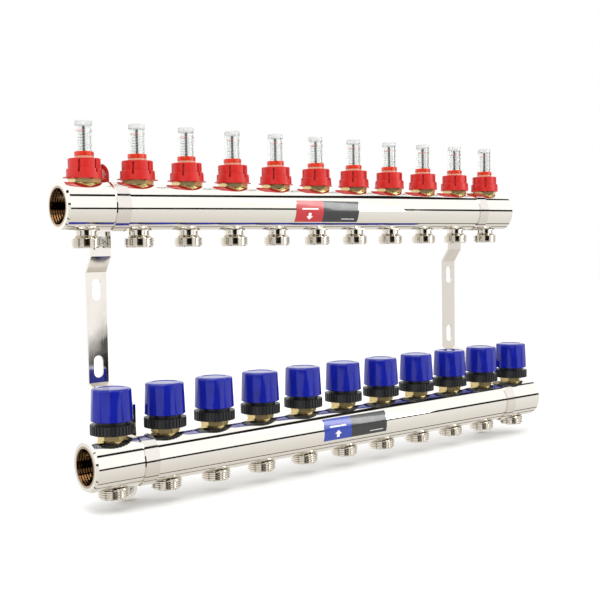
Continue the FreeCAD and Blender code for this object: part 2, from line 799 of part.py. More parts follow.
def bracket_strip():
    """A bent strip: it leaves the wall towards the supply bar and, further, the return bar."""
    supply_back = f"({SUPPLY_Y} + {STRIP_BACK})"
    return_back = f"({RETURN_Y} + {STRIP_BACK})"
    supply_mitre = mitre(supply_back, "size.supply_bend")
    return_mitre = mitre(return_back, "size.return_bend")
    land = "size.wall_land"
    thickness = "size.strip_thickness"
    profile = [
        (supply_back, STRIP_TOP),
        (supply_back, f"{land} + size.supply_bend"),
        ("0", land),
        ("0", f"-{land}"),
        (return_back, f"-{land} - size.return_bend"),
        (return_back, STRIP_BOTTOM),
        (f"{return_back} - {thickness}", STRIP_BOTTOM),
        (f"{return_back} - {thickness}", f"-{land} - size.return_bend - {return_mitre}"),
        (f"-{thickness}", f"-{land} - {return_mitre}"),
        (f"-{thickness}", f"{land} + {supply_mitre}"),
        (f"{supply_back} - {thickness}", f"{land} + size.supply_bend + {supply_mitre}"),
        (f"{supply_back} - {thickness}", STRIP_TOP),
    ]
    body = doc.addObject("PartDesign::Body", "bracket_bend")
    sketch = outline_sketch(body, "bracket_profile", "YZ_Plane", profile)
    pad = body.newObject("PartDesign::Pad", "bracket_width")
    pad.Profile = sketch
    pad.Midplane = True
    pad.setExpression("Length", "size.strip_width")
    return body


def through_hole(name, radius, z):
    """A drill along Y through the whole depth of a bracket."""
    return cylinder(name, radius, DEPTH, y=f"-{DEPTH} / 2", z=z, axis="Y")


DEPTH = "(4 * (size.wall_distance + size.bar_stagger))"


def wall_bracket():
    """A bracket with round ends, two wall slots and a pair of clamp holes at each bar."""
    radius = "size.strip_width / 2"
    face = block(
        "bracket_face", "size.strip_width", DEPTH,
        f"{STRIP_TOP} - {STRIP_BOTTOM} - size.strip_width", z=f"{STRIP_BOTTOM} + {radius}")
    ends = [
        through_hole("bracket_round_top", radius, f"{STRIP_TOP} - {radius}"),
        through_hole("bracket_round_bottom", radius, f"{STRIP_BOTTOM} + {radius}"),
    ]
    blank = common("bracket_blank", bracket_strip(), fuse("bracket_outline", face, *ends))
    tools = []
    for side in ("+", "-"):
        half = "(size.slot_length - size.slot_width) / 2"
        centre = f"{side} size.slot_spacing / 2"
        middle = block(
            f"slot_middle_{len(tools)}", "size.slot_width", DEPTH, f"2 * {half}", z=f"0 {centre} - {half}")
        upper = through_hole(f"slot_upper_{len(tools)}", "size.slot_width / 2", f"0 {centre} + {half}")
        lower = through_hole(f"slot_lower_{len(tools)}", "size.slot_width / 2", f"0 {centre} - {half}")
        tools.append(fuse(f"slot_{len(tools)}", middle, upper, lower))
    for bar_z in (SUPPLY_Z, RETURN_Z):
        for side in ("+", "-"):
            tools.append(through_hole(
                f"clamp_hole_{len(tools)}", "size.screw_diameter / 2 + size.screw_clearance",
                f"{bar_z} {side} size.clamp_hole_offset"))
    return cut("wall_bracket", blank, *tools)


bracket_master = wall_bracket()
node_of_group("wall_brackets", *[
    copy_of(bracket_master, f"wall_bracket_{side}", f"{sign}{BRACKET_X}", "0", "0")
    for side, sign in (("left", "-"), ("right", "+"))
])


# ---------------------------------------------------------------- clamps and their fasteners
def bar_clamp():
    """A clamp strap: it wraps the front of a bar and turns out into two ears."""
    wide = "size.clamp_width"
    outer_radius = f"({BAR_RADIUS} + size.clamp_thickness)"
    outer_flat = f"({FLAT} + size.clamp_thickness)"
    ring = cylinder("clamp_ring", outer_radius, wide, x=f"-{wide} / 2", axis="X")
    ring_slab = block("clamp_slab", wide, f"2 * {outer_radius}", f"2 * {outer_flat}", z=f"-{outer_flat}")
    arms = block(
        "clamp_arms", wide, STRIP_FRONT, f"2 * {outer_flat}", y=f"{STRIP_FRONT} / 2", z=f"-{outer_flat}")
    ears = block(
        "clamp_ears", wide, "size.clamp_thickness", "2 * size.clamp_reach",
        y=f"{STRIP_FRONT} - size.clamp_thickness / 2", z="-size.clamp_reach")
    bore = cylinder("clamp_bore", BAR_RADIUS, wide, x=f"-{wide} / 2", axis="X")
    bore_slab = block("clamp_bore_slab", wide, "size.bar_diameter", "size.bar_flats", z=f"-{FLAT}")
    gap = block(
        "clamp_gap", wide, f"{STRIP_FRONT} + 1", "size.bar_flats",
        y=f"({STRIP_FRONT} + 1) / 2", z=f"-{FLAT}")
    holes = [
        cylinder(
            f"clamp_ear_hole_{place}", "size.screw_diameter / 2 + size.screw_clearance",
            "2 * size.clamp_thickness", y=f"{STRIP_FRONT} - 1.5 * size.clamp_thickness",
            z=f"{sign}size.clamp_hole_offset", axis="Y")
        for place, sign in (("upper", "+"), ("lower", "-"))
    ]
    outside = fuse("clamp_outside", common("clamp_round", ring, ring_slab), arms, ears)
    inside = fuse("clamp_inside", common("clamp_round_bore", bore, bore_slab), gap)
    return cut("bar_clamp", outside, inside, *holes)


def at_each_clamp(master, offsets=("0",)):
    """Copies of a master piece at both brackets on both bars, at heights from the bar's axis."""
    copies = []
    for y, z in ((SUPPLY_Y, SUPPLY_Z), (RETURN_Y, RETURN_Z)):
        for sign in ("-", "+"):
            for offset in offsets:
                name = f"{master.Name}_{len(copies) + 1}"
                copies.append(copy_of(master, name, f"{sign}{BRACKET_X}", y, f"{z} + {offset}"))
    return copies


SCREW_OFFSETS = ("size.clamp_hole_offset", "(-size.clamp_hole_offset)")
NUT_FRONT = STRIP_BACK


def clamp_screw():
    """A pan-head screw with a cross recess, its head against the clamp's ear."""
    seat = f"({STRIP_FRONT} - size.clamp_thickness)"
    head = cylinder(
        "screw_head", "size.screw_head / 2", "size.screw_head_height",
        y=f"{seat} - size.screw_head_height", axis="Y")
    shank_length = f"({NUT_FRONT} + size.clamp_nut_height + size.screw_tail - {seat})"
    shank = cylinder("screw_shank", "size.screw_diameter / 2", shank_length, y=seat, axis="Y")
    across = block(
        "recess_across", "size.screw_head / 2", "size.screw_recess", "size.screw_recess",
        y=f"{seat} - size.screw_head_height + size.screw_recess / 2", z="-size.screw_recess / 2")
    upright = block(
        "recess_upright", "size.screw_recess", "size.screw_recess", "size.screw_head / 2",
        y=f"{seat} - size.screw_head_height + size.screw_recess / 2", z="-size.screw_head / 4")
    return cut("clamp_screw", fuse("screw_blank", head, shank), across, upright)


def clamp_nut():
    """A hexagon nut behind the bracket strip."""
    blank = hexagon(
        "nut_blank", "size.clamp_nut_width", "size.clamp_nut_height", y=NUT_FRONT, axis="Y")
    hole = cylinder(
        "nut_hole", "size.screw_diameter / 2 + size.port_clearance", "size.clamp_nut_height",
        y=NUT_FRONT, axis="Y")
    return cut("clamp_nut", blank, hole)


node_of_group("bar_clamps", *at_each_clamp(bar_clamp()))
node_of_group("clamp_screws", *at_each_clamp(clamp_screw(), SCREW_OFFSETS))
node_of_group("clamp_nuts", *at_each_clamp(clamp_nut(), SCREW_OFFSETS))


# ---------------------------------------------------------------- labels
def label(name, y, z, tilt):
    """A thin film round the front of a bar, turned a little up or down from level."""
    start = "-size.label_length / 2 - size.label_offset"
    outer = cylinder(f"{name}_outside", f"{BAR_RADIUS} + size.label_thickness", "size.label_length")
    inner = cylinder(f"{name}_inside", BAR_RADIUS, "size.label_length")
    for solid in (outer, inner):
        solid.setExpression("Angle", "size.label_sweep")
    film = cut(f"{name}_film", outer, inner)
    # The film's arc starts at the cylinder's own X, which the placement turns to the bar's front.
    turn = Rotation(Vector(1, 0, 0), value(tilt)) * Rotation(Vector(0, 1, 0), 90)
    sweep = Rotation(Vector(0, 0, 1), -90 - value("size.label_sweep") / 2)
    placed = group(name, film)
    placed.Placement = Placement(Vector(), turn * sweep)
    placed.setExpression("Placement.Base.x", start)
    placed.setExpression("Placement.Base.y", y)
    placed.setExpression("Placement.Base.z", z)
    nodes[name] = placed


label("supply_label", SUPPLY_Y, SUPPLY_Z, "size.label_tilt")
label("return_label", RETURN_Y, RETURN_Z, "-size.label_tilt")

# ---------------------------------------------------------------- checks and export
doc.recompute()
for item in doc.Objects:
    if "Invalid" in item.State or "Error" in item.State:
        raise RuntimeError(f"{item.Name} failed: {item.State}")
for name, piece in nodes.items():
    piece.Label = name
    if piece.Shape.isNull() or not piece.Shape.isValid() or not piece.Shape.Solids:
        raise RuntimeError(f"{name} has no valid solid")
for name, piece in nodes.items():
    piece.Shape.exportStep(f"parts/{name}.step")
    print(f"{name}: {len(piece.Shape.Solids)} solids, {piece.Shape.Volume:.0f} mm3")
print(f"{len(nodes)} nodes")
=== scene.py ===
"""Looks for an underfloor heating manifold: two plated bars with meters above and hand caps below.

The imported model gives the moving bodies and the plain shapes. This script dresses them, and builds
again the pieces that need a finer shape: hexagons, sight glasses, indicators, hand caps and labels.
Lengths are in metres, and heights called "above the flat" start at the top flat of a bar.
"""

import logging
import math
from dataclasses import dataclass, replace
from enum import Enum
from typing import Any, Callable, Iterable, Optional, Sequence

import bmesh
import bpy
from mathutils import Matrix, Vector

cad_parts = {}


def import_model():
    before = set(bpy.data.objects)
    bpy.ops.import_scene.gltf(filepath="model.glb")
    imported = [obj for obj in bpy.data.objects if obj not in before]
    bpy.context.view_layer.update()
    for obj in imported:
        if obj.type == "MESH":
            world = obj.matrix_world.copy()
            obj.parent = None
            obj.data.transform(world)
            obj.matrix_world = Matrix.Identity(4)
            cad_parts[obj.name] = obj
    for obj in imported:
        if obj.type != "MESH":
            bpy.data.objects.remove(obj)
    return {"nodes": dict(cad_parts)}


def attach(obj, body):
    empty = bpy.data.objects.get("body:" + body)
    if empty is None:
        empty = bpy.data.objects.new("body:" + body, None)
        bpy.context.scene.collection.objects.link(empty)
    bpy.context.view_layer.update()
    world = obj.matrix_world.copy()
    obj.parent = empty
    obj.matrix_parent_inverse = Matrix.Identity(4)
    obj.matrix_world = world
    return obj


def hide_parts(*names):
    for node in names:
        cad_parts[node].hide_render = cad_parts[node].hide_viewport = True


log = logging.getLogger("manifold")

MM = 0.001
CIRCUITS = 11
OUTLET_PITCH = 50 * MM
BAR_RADIUS = 21.5 * MM
FLAT = 19.5 * MM

Ring = list[Vector]
Outline = Sequence[tuple[float, float]]
Span = tuple[float, float, float]


class Bar(Enum):
    """The two bars of the manifold, each with the place of its axis behind and above the origin."""

    SUPPLY = (-35 * MM, 105 * MM)
    RETURN = (-72 * MM, -105 * MM)

    def circuit(self, number: int) -> Vector:
        """Finds where a circuit crosses the bar's axis.

        Args:
            number: The circuit, counted from 1 at the left.

        Returns:
            The point on the bar's axis.
        """
        y, z = self.value
        return Vector(((number - (CIRCUITS + 1) / 2) * OUTLET_PITCH, y, z))


class Side(Enum):
    """Which way a label's arrow points."""

    UP = 1
    DOWN = -1


# ------------------------------------------------------------------ shared helpers
def linear(hex_colour: str) -> tuple[float, float, float, float]:
    """Turns an sRGB hex colour into the linear colour that shaders use.

    Args:
        hex_colour: A colour such as "#d9d2ca".

    Returns:
        Red, green, blue and an alpha of 1.
    """
    channels = []
    for start in (1, 3, 5):
        share = int(hex_colour[start:start + 2], 16) / 255
        channels.append(share / 12.92 if share <= 0.04045 else ((share + 0.055) / 1.055) ** 2.4)
    return (*channels, 1.0)


def add_node(
    tree: bpy.types.NodeTree,
    kind: str,
    settings: Optional[dict[str, Any]] = None,
    inputs: Optional[dict[Any, Any]] = None,
) -> bpy.types.Node:
    """Adds a node to a tree with its settings and links.

    Args:
        tree: The node tree.
        kind: Blender's name of the node type.
        settings: Values for the node's own properties.
        inputs: A socket to link or a constant for each input, by name or index.

    Returns:
        The new node.
    """
    node = tree.nodes.new(kind)
    for name, setting in (settings or {}).items():
        setattr(node, name, setting)
    for name, source in (inputs or {}).items():
        if isinstance(source, bpy.types.NodeSocket):
            tree.links.new(source, node.inputs[name])
        else:
            node.inputs[name].default_value = source
    return node


def per_metre(size_mm: float) -> float:
    """The texture scale whose features are about this many millimetres across."""
    return 1 / (size_mm * MM)


# ------------------------------------------------------------------ finishes
@dataclass(frozen=True)
class Finish:
    """A material with a fine grain, whose gloss wanders a little over the surface.

    The grain is the bump that its making leaves, and the wander is where it was handled.
    """

    name: str
    colour: str
    roughness: float
    metallic: float = 0.0
    specular: float = 0.5
    ior: Optional[float] = None
    coat: float = 0.0
    grain_mm: float = 0.6
    grain_depth_mm: float = 0.004
    stretch: tuple[float, float, float] = (1.0, 1.0, 1.0)
    wander: float = 0.04
    wander_mm: float = 12.0
    tint: str = ""
    tint_mm: float = 9.0

    def material(self) -> bpy.types.Material:
        """Gives the Blender material, which is made on first use.

        Returns:
            The material of this finish.
        """
        made = bpy.data.materials.get(self.name)
        if made is not None:
            return made
        made = bpy.data.materials.new(self.name)
        made.use_nodes = True
        tree = made.node_tree
        shader = tree.nodes["Principled BSDF"]
        shader.inputs["Base Color"].default_value = linear(self.colour)
        shader.inputs["Metallic"].default_value = self.metallic
        shader.inputs["Specular IOR Level"].default_value = self.specular
        shader.inputs["Coat Weight"].default_value = self.coat
        if self.ior is not None:
            shader.inputs["IOR"].default_value = self.ior
        place = add_node(tree, "ShaderNodeTexCoord").outputs["Object"]
        spread = add_node(tree, "ShaderNodeMapping", inputs={"Vector": place, "Scale": self.stretch})
        self.grain(tree, shader, spread.outputs["Vector"])
        self.gloss(tree, shader, place)
        self.shade(tree, shader, place)
        return made

    def grain(self, tree: bpy.types.NodeTree, shader: bpy.types.Node, place: bpy.types.NodeSocket) -> None:
        """Raises the fine grain of the surface.

        Args:
            tree: The material's tree.
            shader: Its surface shader.
            place: Where on the piece a point is, stretched along the grain.
        """
        noise = add_node(tree, "ShaderNodeTexNoise", inputs={
            "Vector": place, "Scale": per_metre(self.grain_mm), "Detail": 3.0, "Roughness": 0.6})
        bump = add_node(tree, "ShaderNodeBump", inputs={
            "Height": noise.outputs["Fac"], "Distance": self.grain_depth_mm * MM, "Strength": 1.0})
        tree.links.new(bump.outputs["Normal"], shader.inputs["Normal"])

    def gloss(self, tree: bpy.types.NodeTree, shader: bpy.types.Node, place: bpy.types.NodeSocket) -> None:
        """Lets the roughness wander about its middle value.

        Args:
            tree: The material's tree.
            shader: Its surface shader.
            place: Where on the piece a point is.
        """
        noise = add_node(tree, "ShaderNodeTexNoise", inputs={
            "Vector": place, "Scale": per_metre(self.wander_mm), "Detail": 2.0})
        spread = add_node(tree, "ShaderNodeMapRange", inputs={
            "Value": noise.outputs["Fac"], "From Min": 0.3, "From Max": 0.7,
            "To Min": max(self.roughness - self.wander, 0.0), "To Max": self.roughness + self.wander})
        tree.links.new(spread.outputs["Result"], shader.inputs["Roughness"])

    def shade(self, tree: bpy.types.NodeTree, shader: bpy.types.Node, place: bpy.types.NodeSocket) -> None:
        """Lets the colour drift towards the tint in soft patches, where there is a tint.

        Args:
            tree: The material's tree.
            shader: Its surface shader.
            place: Where on the piece a point is.
        """
        if not self.tint:
            return
        noise = add_node(tree, "ShaderNodeTexNoise", inputs={
            "Vector": place, "Scale": per_metre(self.tint_mm), "Detail": 3.0})
        ramp = add_node(tree, "ShaderNodeValToRGB", inputs={"Fac": noise.outputs["Fac"]})
        ramp.color_ramp.elements[0].position = 0.35
        ramp.color_ramp.elements[0].color = linear(self.colour)
        ramp.color_ramp.elements[1].position = 0.75
        ramp.color_ramp.elements[1].color = linear(self.tint)
        tree.links.new(ramp.outputs["Color"], shader.inputs["Base Color"])


@dataclass(frozen=True)
class BoredFinish(Finish):
    """The finish of a bar, with painted shade inside its threaded bore, where the colour turns darker and
    browner.
    """

    bar: Bar = Bar.SUPPLY
    bore_radius_mm: float = 16.9
    # painted shade: the darker, browner colour of the inside of the bore
    bore_painted_shade_colour: str = "#b7a48e"

    def shade(self, tree: bpy.types.NodeTree, shader: bpy.types.Node, place: bpy.types.NodeSocket) -> None:
        """Paints shade into the bore: a darker, browner colour within the bore's radius of the bar's axis.

        Args:
            tree: The material's tree.
            shader: Its surface shader.
            place: Where on the piece a point is.
        """
        y, z = self.bar.value
        centred = add_node(tree, "ShaderNodeVectorMath", {"operation": "SUBTRACT"}, {0: place, 1: (0, y, z)})
        across = add_node(tree, "ShaderNodeVectorMath", {"operation": "MULTIPLY"}, {
            0: centred.outputs[0], 1: (0, 1, 1)})
        radius = add_node(tree, "ShaderNodeVectorMath", {"operation": "LENGTH"}, {0: across.outputs[0]})
        inside = add_node(tree, "ShaderNodeMath", {"operation": "LESS_THAN"}, {
            0: radius.outputs["Value"], 1: self.bore_radius_mm * MM})
        # painted shade: mixes the darker, browner bore colour in within the bore radius
        colour = add_node(tree, "ShaderNodeMix", {"data_type": "RGBA"}, {
            0: inside.outputs[0], 6: linear(self.colour), 7: linear(self.bore_painted_shade_colour)})
        tree.links.new(colour.outputs[2], shader.inputs["Base Color"])


@dataclass(frozen=True)
class ClearFinish(Finish):
    """A moulded clear or translucent plastic, which lets part of the light through."""

    transmission: float = 1.0

    def material(self) -> bpy.types.Material:
        """Gives the Blender material, which lets light through.

        Returns:
            The material of this finish.
        """
        made = super().material()
        shader = made.node_tree.nodes["Principled BSDF"]
        shader.inputs["Transmission Weight"].default_value = self.transmission
        return made


# Buffed brass bar with bright nickel plate: a warm mirror, with the faintest waves left by buffing.
# Down the threaded bore its colour is painted darker and browner, as painted shade inside the bore.
SUPPLY_PLATE = BoredFinish(
    "nickel_plate_on_buffed_brass_supply", "#eeebe4", 0.045, metallic=1.0, grain_mm=7.0, grain_depth_mm=0.006,
    stretch=(0.25, 1.0, 1.0), wander=0.02, wander_mm=25.0, bar=Bar.SUPPLY)
RETURN_PLATE = replace(SUPPLY_PLATE, name="nickel_plate_on_buffed_brass_return", bar=Bar.RETURN)
# The same plate over cut threads: a touch greyer and less sharp, as the plate rounds the cutter's marks.
NICKEL_THREAD = Finish(
    "nickel_plate_on_cut_thread", "#e4dfd6", 0.08, metallic=1.0, grain_mm=0.7, grain_depth_mm=0.002,
    stretch=(1.0, 1.0, 3.0), wander=0.03, wander_mm=4.0)
# Cold-rolled steel strip with bright plate: a mirror with the long low waves of rolling and bending.
PLATED_STRIP = Finish(
    "bright_plate_on_rolled_strip", "#e2ddd6", 0.07, metallic=1.0, grain_mm=9.0, grain_depth_mm=0.014,
    stretch=(1.0, 1.0, 0.35), wander=0.03, wander_mm=15.0)
# Bare turned brass: pale yellow with soft random patches of a deeper yellow, and fine rings from the lathe.
BARE_BRASS = Finish(
    "turned_brass", "#faeb88", 0.13, metallic=1.0, grain_mm=0.35, grain_depth_mm=0.006,
    stretch=(0.2, 0.2, 1.0), wander=0.06, wander_mm=3.0, tint="#ecd873", tint_mm=5.0)
# Zinc-plated pressed steel: greyer and cloudier than nickel.
ZINC = Finish(
    "zinc_plate_on_pressed_steel", "#cbcbc8", 0.28, metallic=1.0, grain_mm=0.5, grain_depth_mm=0.01,
    wander=0.08, wander_mm=2.5)
# Moulded red polyamide: satin, with the fine spark-eroded skin of its mould.
RED_NYLON = Finish(
    "red_polyamide_moulded", "#c8221c", 0.36, specular=0.4, grain_mm=0.4, grain_depth_mm=0.012,
    wander=0.06, wander_mm=5.0, tint="#be1e1a")
# Moulded blue ABS from a polished mould: deep and glossy, with slight sink marks.
BLUE_ABS = Finish(
    "blue_abs_moulded_polished", "#141f94", 0.1, specular=0.4, grain_mm=6.0, grain_depth_mm=0.02,
    wander=0.03, wander_mm=14.0, tint="#111a82")
# Moulded black polyamide: charcoal and satin, so that the ribs catch a soft light.
BLACK_NYLON = Finish(
    "black_polyamide_moulded", "#1c1c1f", 0.38, specular=0.45, grain_mm=0.35, grain_depth_mm=0.012,
    wander=0.07, wander_mm=4.0, tint="#232326")
# Injection-moulded clear polycarbonate: nearly invisible, with grey at its edges.
CLEAR_TUBE = ClearFinish(
    "clear_polycarbonate_moulded", "#f3f5f3", 0.04, ior=1.49, transmission=0.95, grain_mm=4.0,
    grain_depth_mm=0.004, wander=0.015)
# The same polycarbonate where the tube's roof is thick and its inside is left matt: milky.
MILKY_ROOF = ClearFinish(
    "milky_polycarbonate_moulded", "#eef0ee", 0.3, ior=1.49, transmission=0.8, grain_mm=0.5,
    grain_depth_mm=0.01)
# Translucent orange-red polycarbonate collar: glows where the light comes through it.
ORANGE_COLLAR = ClearFinish(
    "orange_red_polycarbonate_moulded", "#f5431c", 0.2, ior=1.52, transmission=0.35, grain_mm=0.8,
    grain_depth_mm=0.006, tint="#ef3a1c")
# The pale band of the collar, where the clear tube shows through its window.
PALE_BAND = ClearFinish(
    "pale_band_polycarbonate", "#fbc9a8", 0.25, ior=1.52, transmission=0.3, grain_mm=0.8,
    grain_depth_mm=0.005)
# Moulded black rod of the indicator: plain and satin.
BLACK_ROD = Finish(
    "black_acetal_moulded", "#232326", 0.42, grain_mm=0.4, grain_depth_mm=0.006, tint="#2c2c30", tint_mm=3.0)
# Pad-printed ink: flat colour with the slight tooth of a silicone pad.
GREY_INK = Finish("grey_ink_pad_printed", "#b4b7ba", 0.5, grain_mm=0.2, grain_depth_mm=0.003)
RED_INK = Finish("red_ink_pad_printed", "#d8434a", 0.5, grain_mm=0.2, grain_depth_mm=0.003)
WHITE_INK = Finish("white_ink_screen_printed", "#f2f2f0", 0.4, grain_mm=0.3, grain_depth_mm=0.003)
# Printed and laminated vinyl film: even colour under a clear coat, with slight orange peel.
RED_FILM = Finish(
    "red_vinyl_film_laminated", "#bc1822", 0.22, coat=0.4, grain_mm=1.6, grain_depth_mm=0.006, tint="#b41a24")
BLUE_FILM = Finish(
    "blue_vinyl_film_laminated", "#1f3aa6", 0.22, coat=0.4, grain_mm=1.6, grain_depth_mm=0.006,
    tint="#1d369c")
DARK_FILM = Finish(
    "charcoal_vinyl_film_laminated", "#1d1e20", 0.24, coat=0.5, grain_mm=1.6, grain_depth_mm=0.006,
    tint="#242528")
# Ground stainless steel spindles and drawn stainless wire: hidden at rest, bright when seen.
GROUND_STEEL = Finish(
    "stainless_steel_ground", "#b9b9b6", 0.25, metallic=1.0, grain_mm=0.4, grain_depth_mm=0.004,
    stretch=(0.3, 0.3, 2.0))
DRAWN_WIRE = Finish("stainless_wire_drawn", "#b2b2ae", 0.3, metallic=1.0, grain_mm=0.3, grain_depth_mm=0.003)
# Moulded EPDM seals: black and dull.
RUBBER = Finish("epdm_rubber_moulded", "#161616", 0.7, grain_mm=0.4, grain_depth_mm=0.01)
# Painted board under the manifold: pale and quite even.
FLOOR_PAINT = Finish(
    "matt_white_painted_board", "#fbfbfa", 0.8, grain_mm=30.0, grain_depth_mm=0.05, tint="#f8f8f7",
    tint_mm=400.0)


# ------------------------------------------------------------------ mesh helpers
def ring_at(height: float, reach: Callable[[float], float], sides: int) -> Ring:
    """Makes one ring of points round the Z axis.

    Args:
        height: The height of the ring.
        reach: The radius at an angle in radians.
        sides: The number of points.

    Returns:
        The points of the ring.
    """
    angles = (2 * math.pi * side / sides for side in range(sides))
    return [Vector((reach(a) * math.cos(a), reach(a) * math.sin(a), height)) for a in angles]


def skin(rings: Sequence[Ring], closed: bool = False) -> bmesh.types.BMesh:
    """Joins rings of equal length with quads.

    Args:
        rings: The rings, each joined to the next.
        closed: Whether the last ring joins the first. If not, the two ends are capped.

    Returns:
        A mesh with its faces turned outward.
    """
    mesh = bmesh.new()
    rows = [[mesh.verts.new(point) for point in ring] for ring in rings]
    count = len(rows[0])
    pairs = list(zip(rows, rows[1:] + rows[:1])) if closed else list(zip(rows, rows[1:]))
    for lower, upper in pairs:
        for side in range(count):
            after = (side + 1) % count
            mesh.faces.new((lower[side], lower[after], upper[after], upper[side]))
    if not closed:
        mesh.faces.new(reversed(rows[0]))
        mesh.faces.new(rows[-1])
    bmesh.ops.recalc_face_normals(mesh, faces=mesh.faces)
    return mesh


def turned(outline: Outline, sides: int = 64, closed: bool = True) -> bmesh.types.BMesh:
    """Turns an outline about the Z axis.

    Args:
        outline: Pairs of a radius and a height.
        sides: The number of facets round the axis.
        closed: Whether the outline closes on itself, as that of a tube does.

    Returns:
        The turned mesh.
    """
    def circle(radius: float) -> Callable[[float], float]:
        """A ring of one radius."""
        return lambda angle: radius

    return skin([ring_at(height, circle(radius), sides) for radius, height in outline], closed)


def hexagon_reach(across: float) -> Callable[[float], float]:
    """Makes the reach of a hexagon.

    Args:
        across: Its width across flats.

    Returns:
        A function from an angle to the distance of the hexagon's side.
    """
    sixth = math.pi / 3
    return lambda angle: across / 2 / math.cos((angle + sixth / 2) % sixth - sixth / 2)


def chamfered_hexagon(across: float, bottom: float, top: float, bore: float) -> bmesh.types.BMesh:
    """Makes a hexagon whose corners are cut back at both faces, as a hexagon bar is when turned.

    Args:
        across: The width across flats.
        bottom: The height of its lower face.
        top: The height of its upper face.
        bore: The radius of the hole through it.

    Returns:
        The mesh.
    """
    sides = 96
    reach = hexagon_reach(across)
    face_radius = across / 2 * 1.02
    slope = math.tan(math.radians(30))

    def cut(angle: float) -> float:
        """How far the chamfer comes down at an angle."""
        return max(reach(angle) - face_radius, 0.0) * slope

    def level(height: float, sign: float) -> Ring:
        """The side's edge, which dips under the chamfer at each corner."""
        points = ring_at(height, reach, sides)
        for side, point in enumerate(points):
            point.z += sign * cut(2 * math.pi * side / sides)
        return points

    def inner(angle: float) -> float:
        """The radius of the flat face."""
        return min(reach(angle), face_radius)

    return skin([
        ring_at(bottom, lambda angle: bore, sides), ring_at(bottom, inner, sides), level(bottom, 1),
        level(top, -1), ring_at(top, inner, sides), ring_at(top, lambda angle: bore, sides)], closed=True)


def bent_panel(radius: float, left: float, right: float, low: float, high: float) -> bmesh.types.BMesh:
    """Makes a thin panel wrapped on the front of a bar whose axis is the X axis.

    Args:
        radius: The distance of its outer face from the axis.
        left: Its left end along X.
        right: Its right end along X.
        low: The angle of its lower edge above level, in radians.
        high: The angle of its upper edge.

    Returns:
        The mesh, 0.1 mm thick.
    """
    steps = 24
    rows = []
    for distance in (radius, radius - 0.1 * MM):
        arc = [low + (high - low) * step / steps for step in range(steps + 1)]
        rows.append([(-distance * math.cos(a), distance * math.sin(a)) for a in arc])
    loop = rows[0] + rows[1][::-1]
    return skin([[Vector((x, y, z)) for y, z in loop] for x in (left, right)])


def smooth(piece: bpy.types.Object, degrees: float = 32.0) -> None:
    """Shades a piece smooth, but for edges sharper than an angle.

    Args:
        piece: The piece.
        degrees: The angle.
    """
    mesh = piece.data
    mesh.polygons.foreach_set("use_smooth", [True] * len(mesh.polygons))
    mesh.set_sharp_from_angle(angle=math.radians(degrees))


def soften(piece: bpy.types.Object, width_mm: float, degrees: float = 35.0) -> None:
    """Rounds the sharp edges of a piece.

    Args:
        piece: The piece.
        width_mm: The width of the rounding.
        degrees: Edges sharper than this are rounded.
    """
    bevel = piece.modifiers.new("rounded_edges", "BEVEL")
    bevel.width = width_mm * MM
    bevel.segments = 2
    bevel.limit_method = "ANGLE"
    bevel.angle_limit = math.radians(degrees)
    bevel.harden_normals = True


def make_piece(
    name: str,
    meshes: Iterable[bmesh.types.BMesh],
    places: Iterable[Vector],
    finishes: Sequence[Finish],
    body: str,
) -> bpy.types.Object:
    """Makes a piece from copies of its meshes, dresses it and lets it ride on a body.

    Args:
        name: The piece's name.
        meshes: The meshes, one for each finish.
        places: Where the copies stand.
        finishes: The finish of each mesh.
        body: The body that it moves with.

    Returns:
        The piece.
    """
    whole = bmesh.new()
    stands = list(places)
    for index, source in enumerate(meshes):
        for face in source.faces:
            face.material_index = index
        plain = bpy.data.meshes.new(f"{name}_master")
        source.to_mesh(plain)
        source.free()
        for place in stands:
            start = len(whole.verts)
            whole.from_mesh(plain)
            whole.verts.ensure_lookup_table()
            bmesh.ops.translate(whole, verts=whole.verts[start:], vec=place)
        bpy.data.meshes.remove(plain)
    mesh = bpy.data.meshes.new(name)
    whole.to_mesh(mesh)
    whole.free()
    piece = bpy.data.objects.new(name, mesh)
    bpy.context.scene.collection.objects.link(piece)
    for finish in finishes:
        mesh.materials.append(finish.material())
    smooth(piece)
    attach(piece, body)
    log.info("%s: %d faces on %s", name, len(mesh.polygons), body)
    return piece


def dress(node: str, finish: Finish, nodes: dict[str, bpy.types.Object], edge_mm: float = 0.0) -> None:
    """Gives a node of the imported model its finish.

    Args:
        node: The node's name.
        finish: Its finish.
        nodes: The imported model's nodes.
        edge_mm: How far its sharp edges are rounded, or 0 to leave them.
    """
    piece = nodes[node]
    piece.data.materials.clear()
    piece.data.materials.append(finish.material())
    if edge_mm:
        soften(piece, edge_mm)
    log.info("%s: dressed in %s", node, finish.name)


# ------------------------------------------------------------------ sub-assemblies
@dataclass
class BarSet:
    """The two bars, their outlet nipples and their seals."""

    nodes: dict[str, bpy.types.Object]

    def build(self) -> None:
        """Dresses the bars, nipples and seals."""
        dress("supply_bar", SUPPLY_PLATE, self.nodes)
        dress("return_bar", RETURN_PLATE, self.nodes)
        dress("outlet_nipples", NICKEL_THREAD, self.nodes)
        dress("port_o_rings", RUBBER, self.nodes)


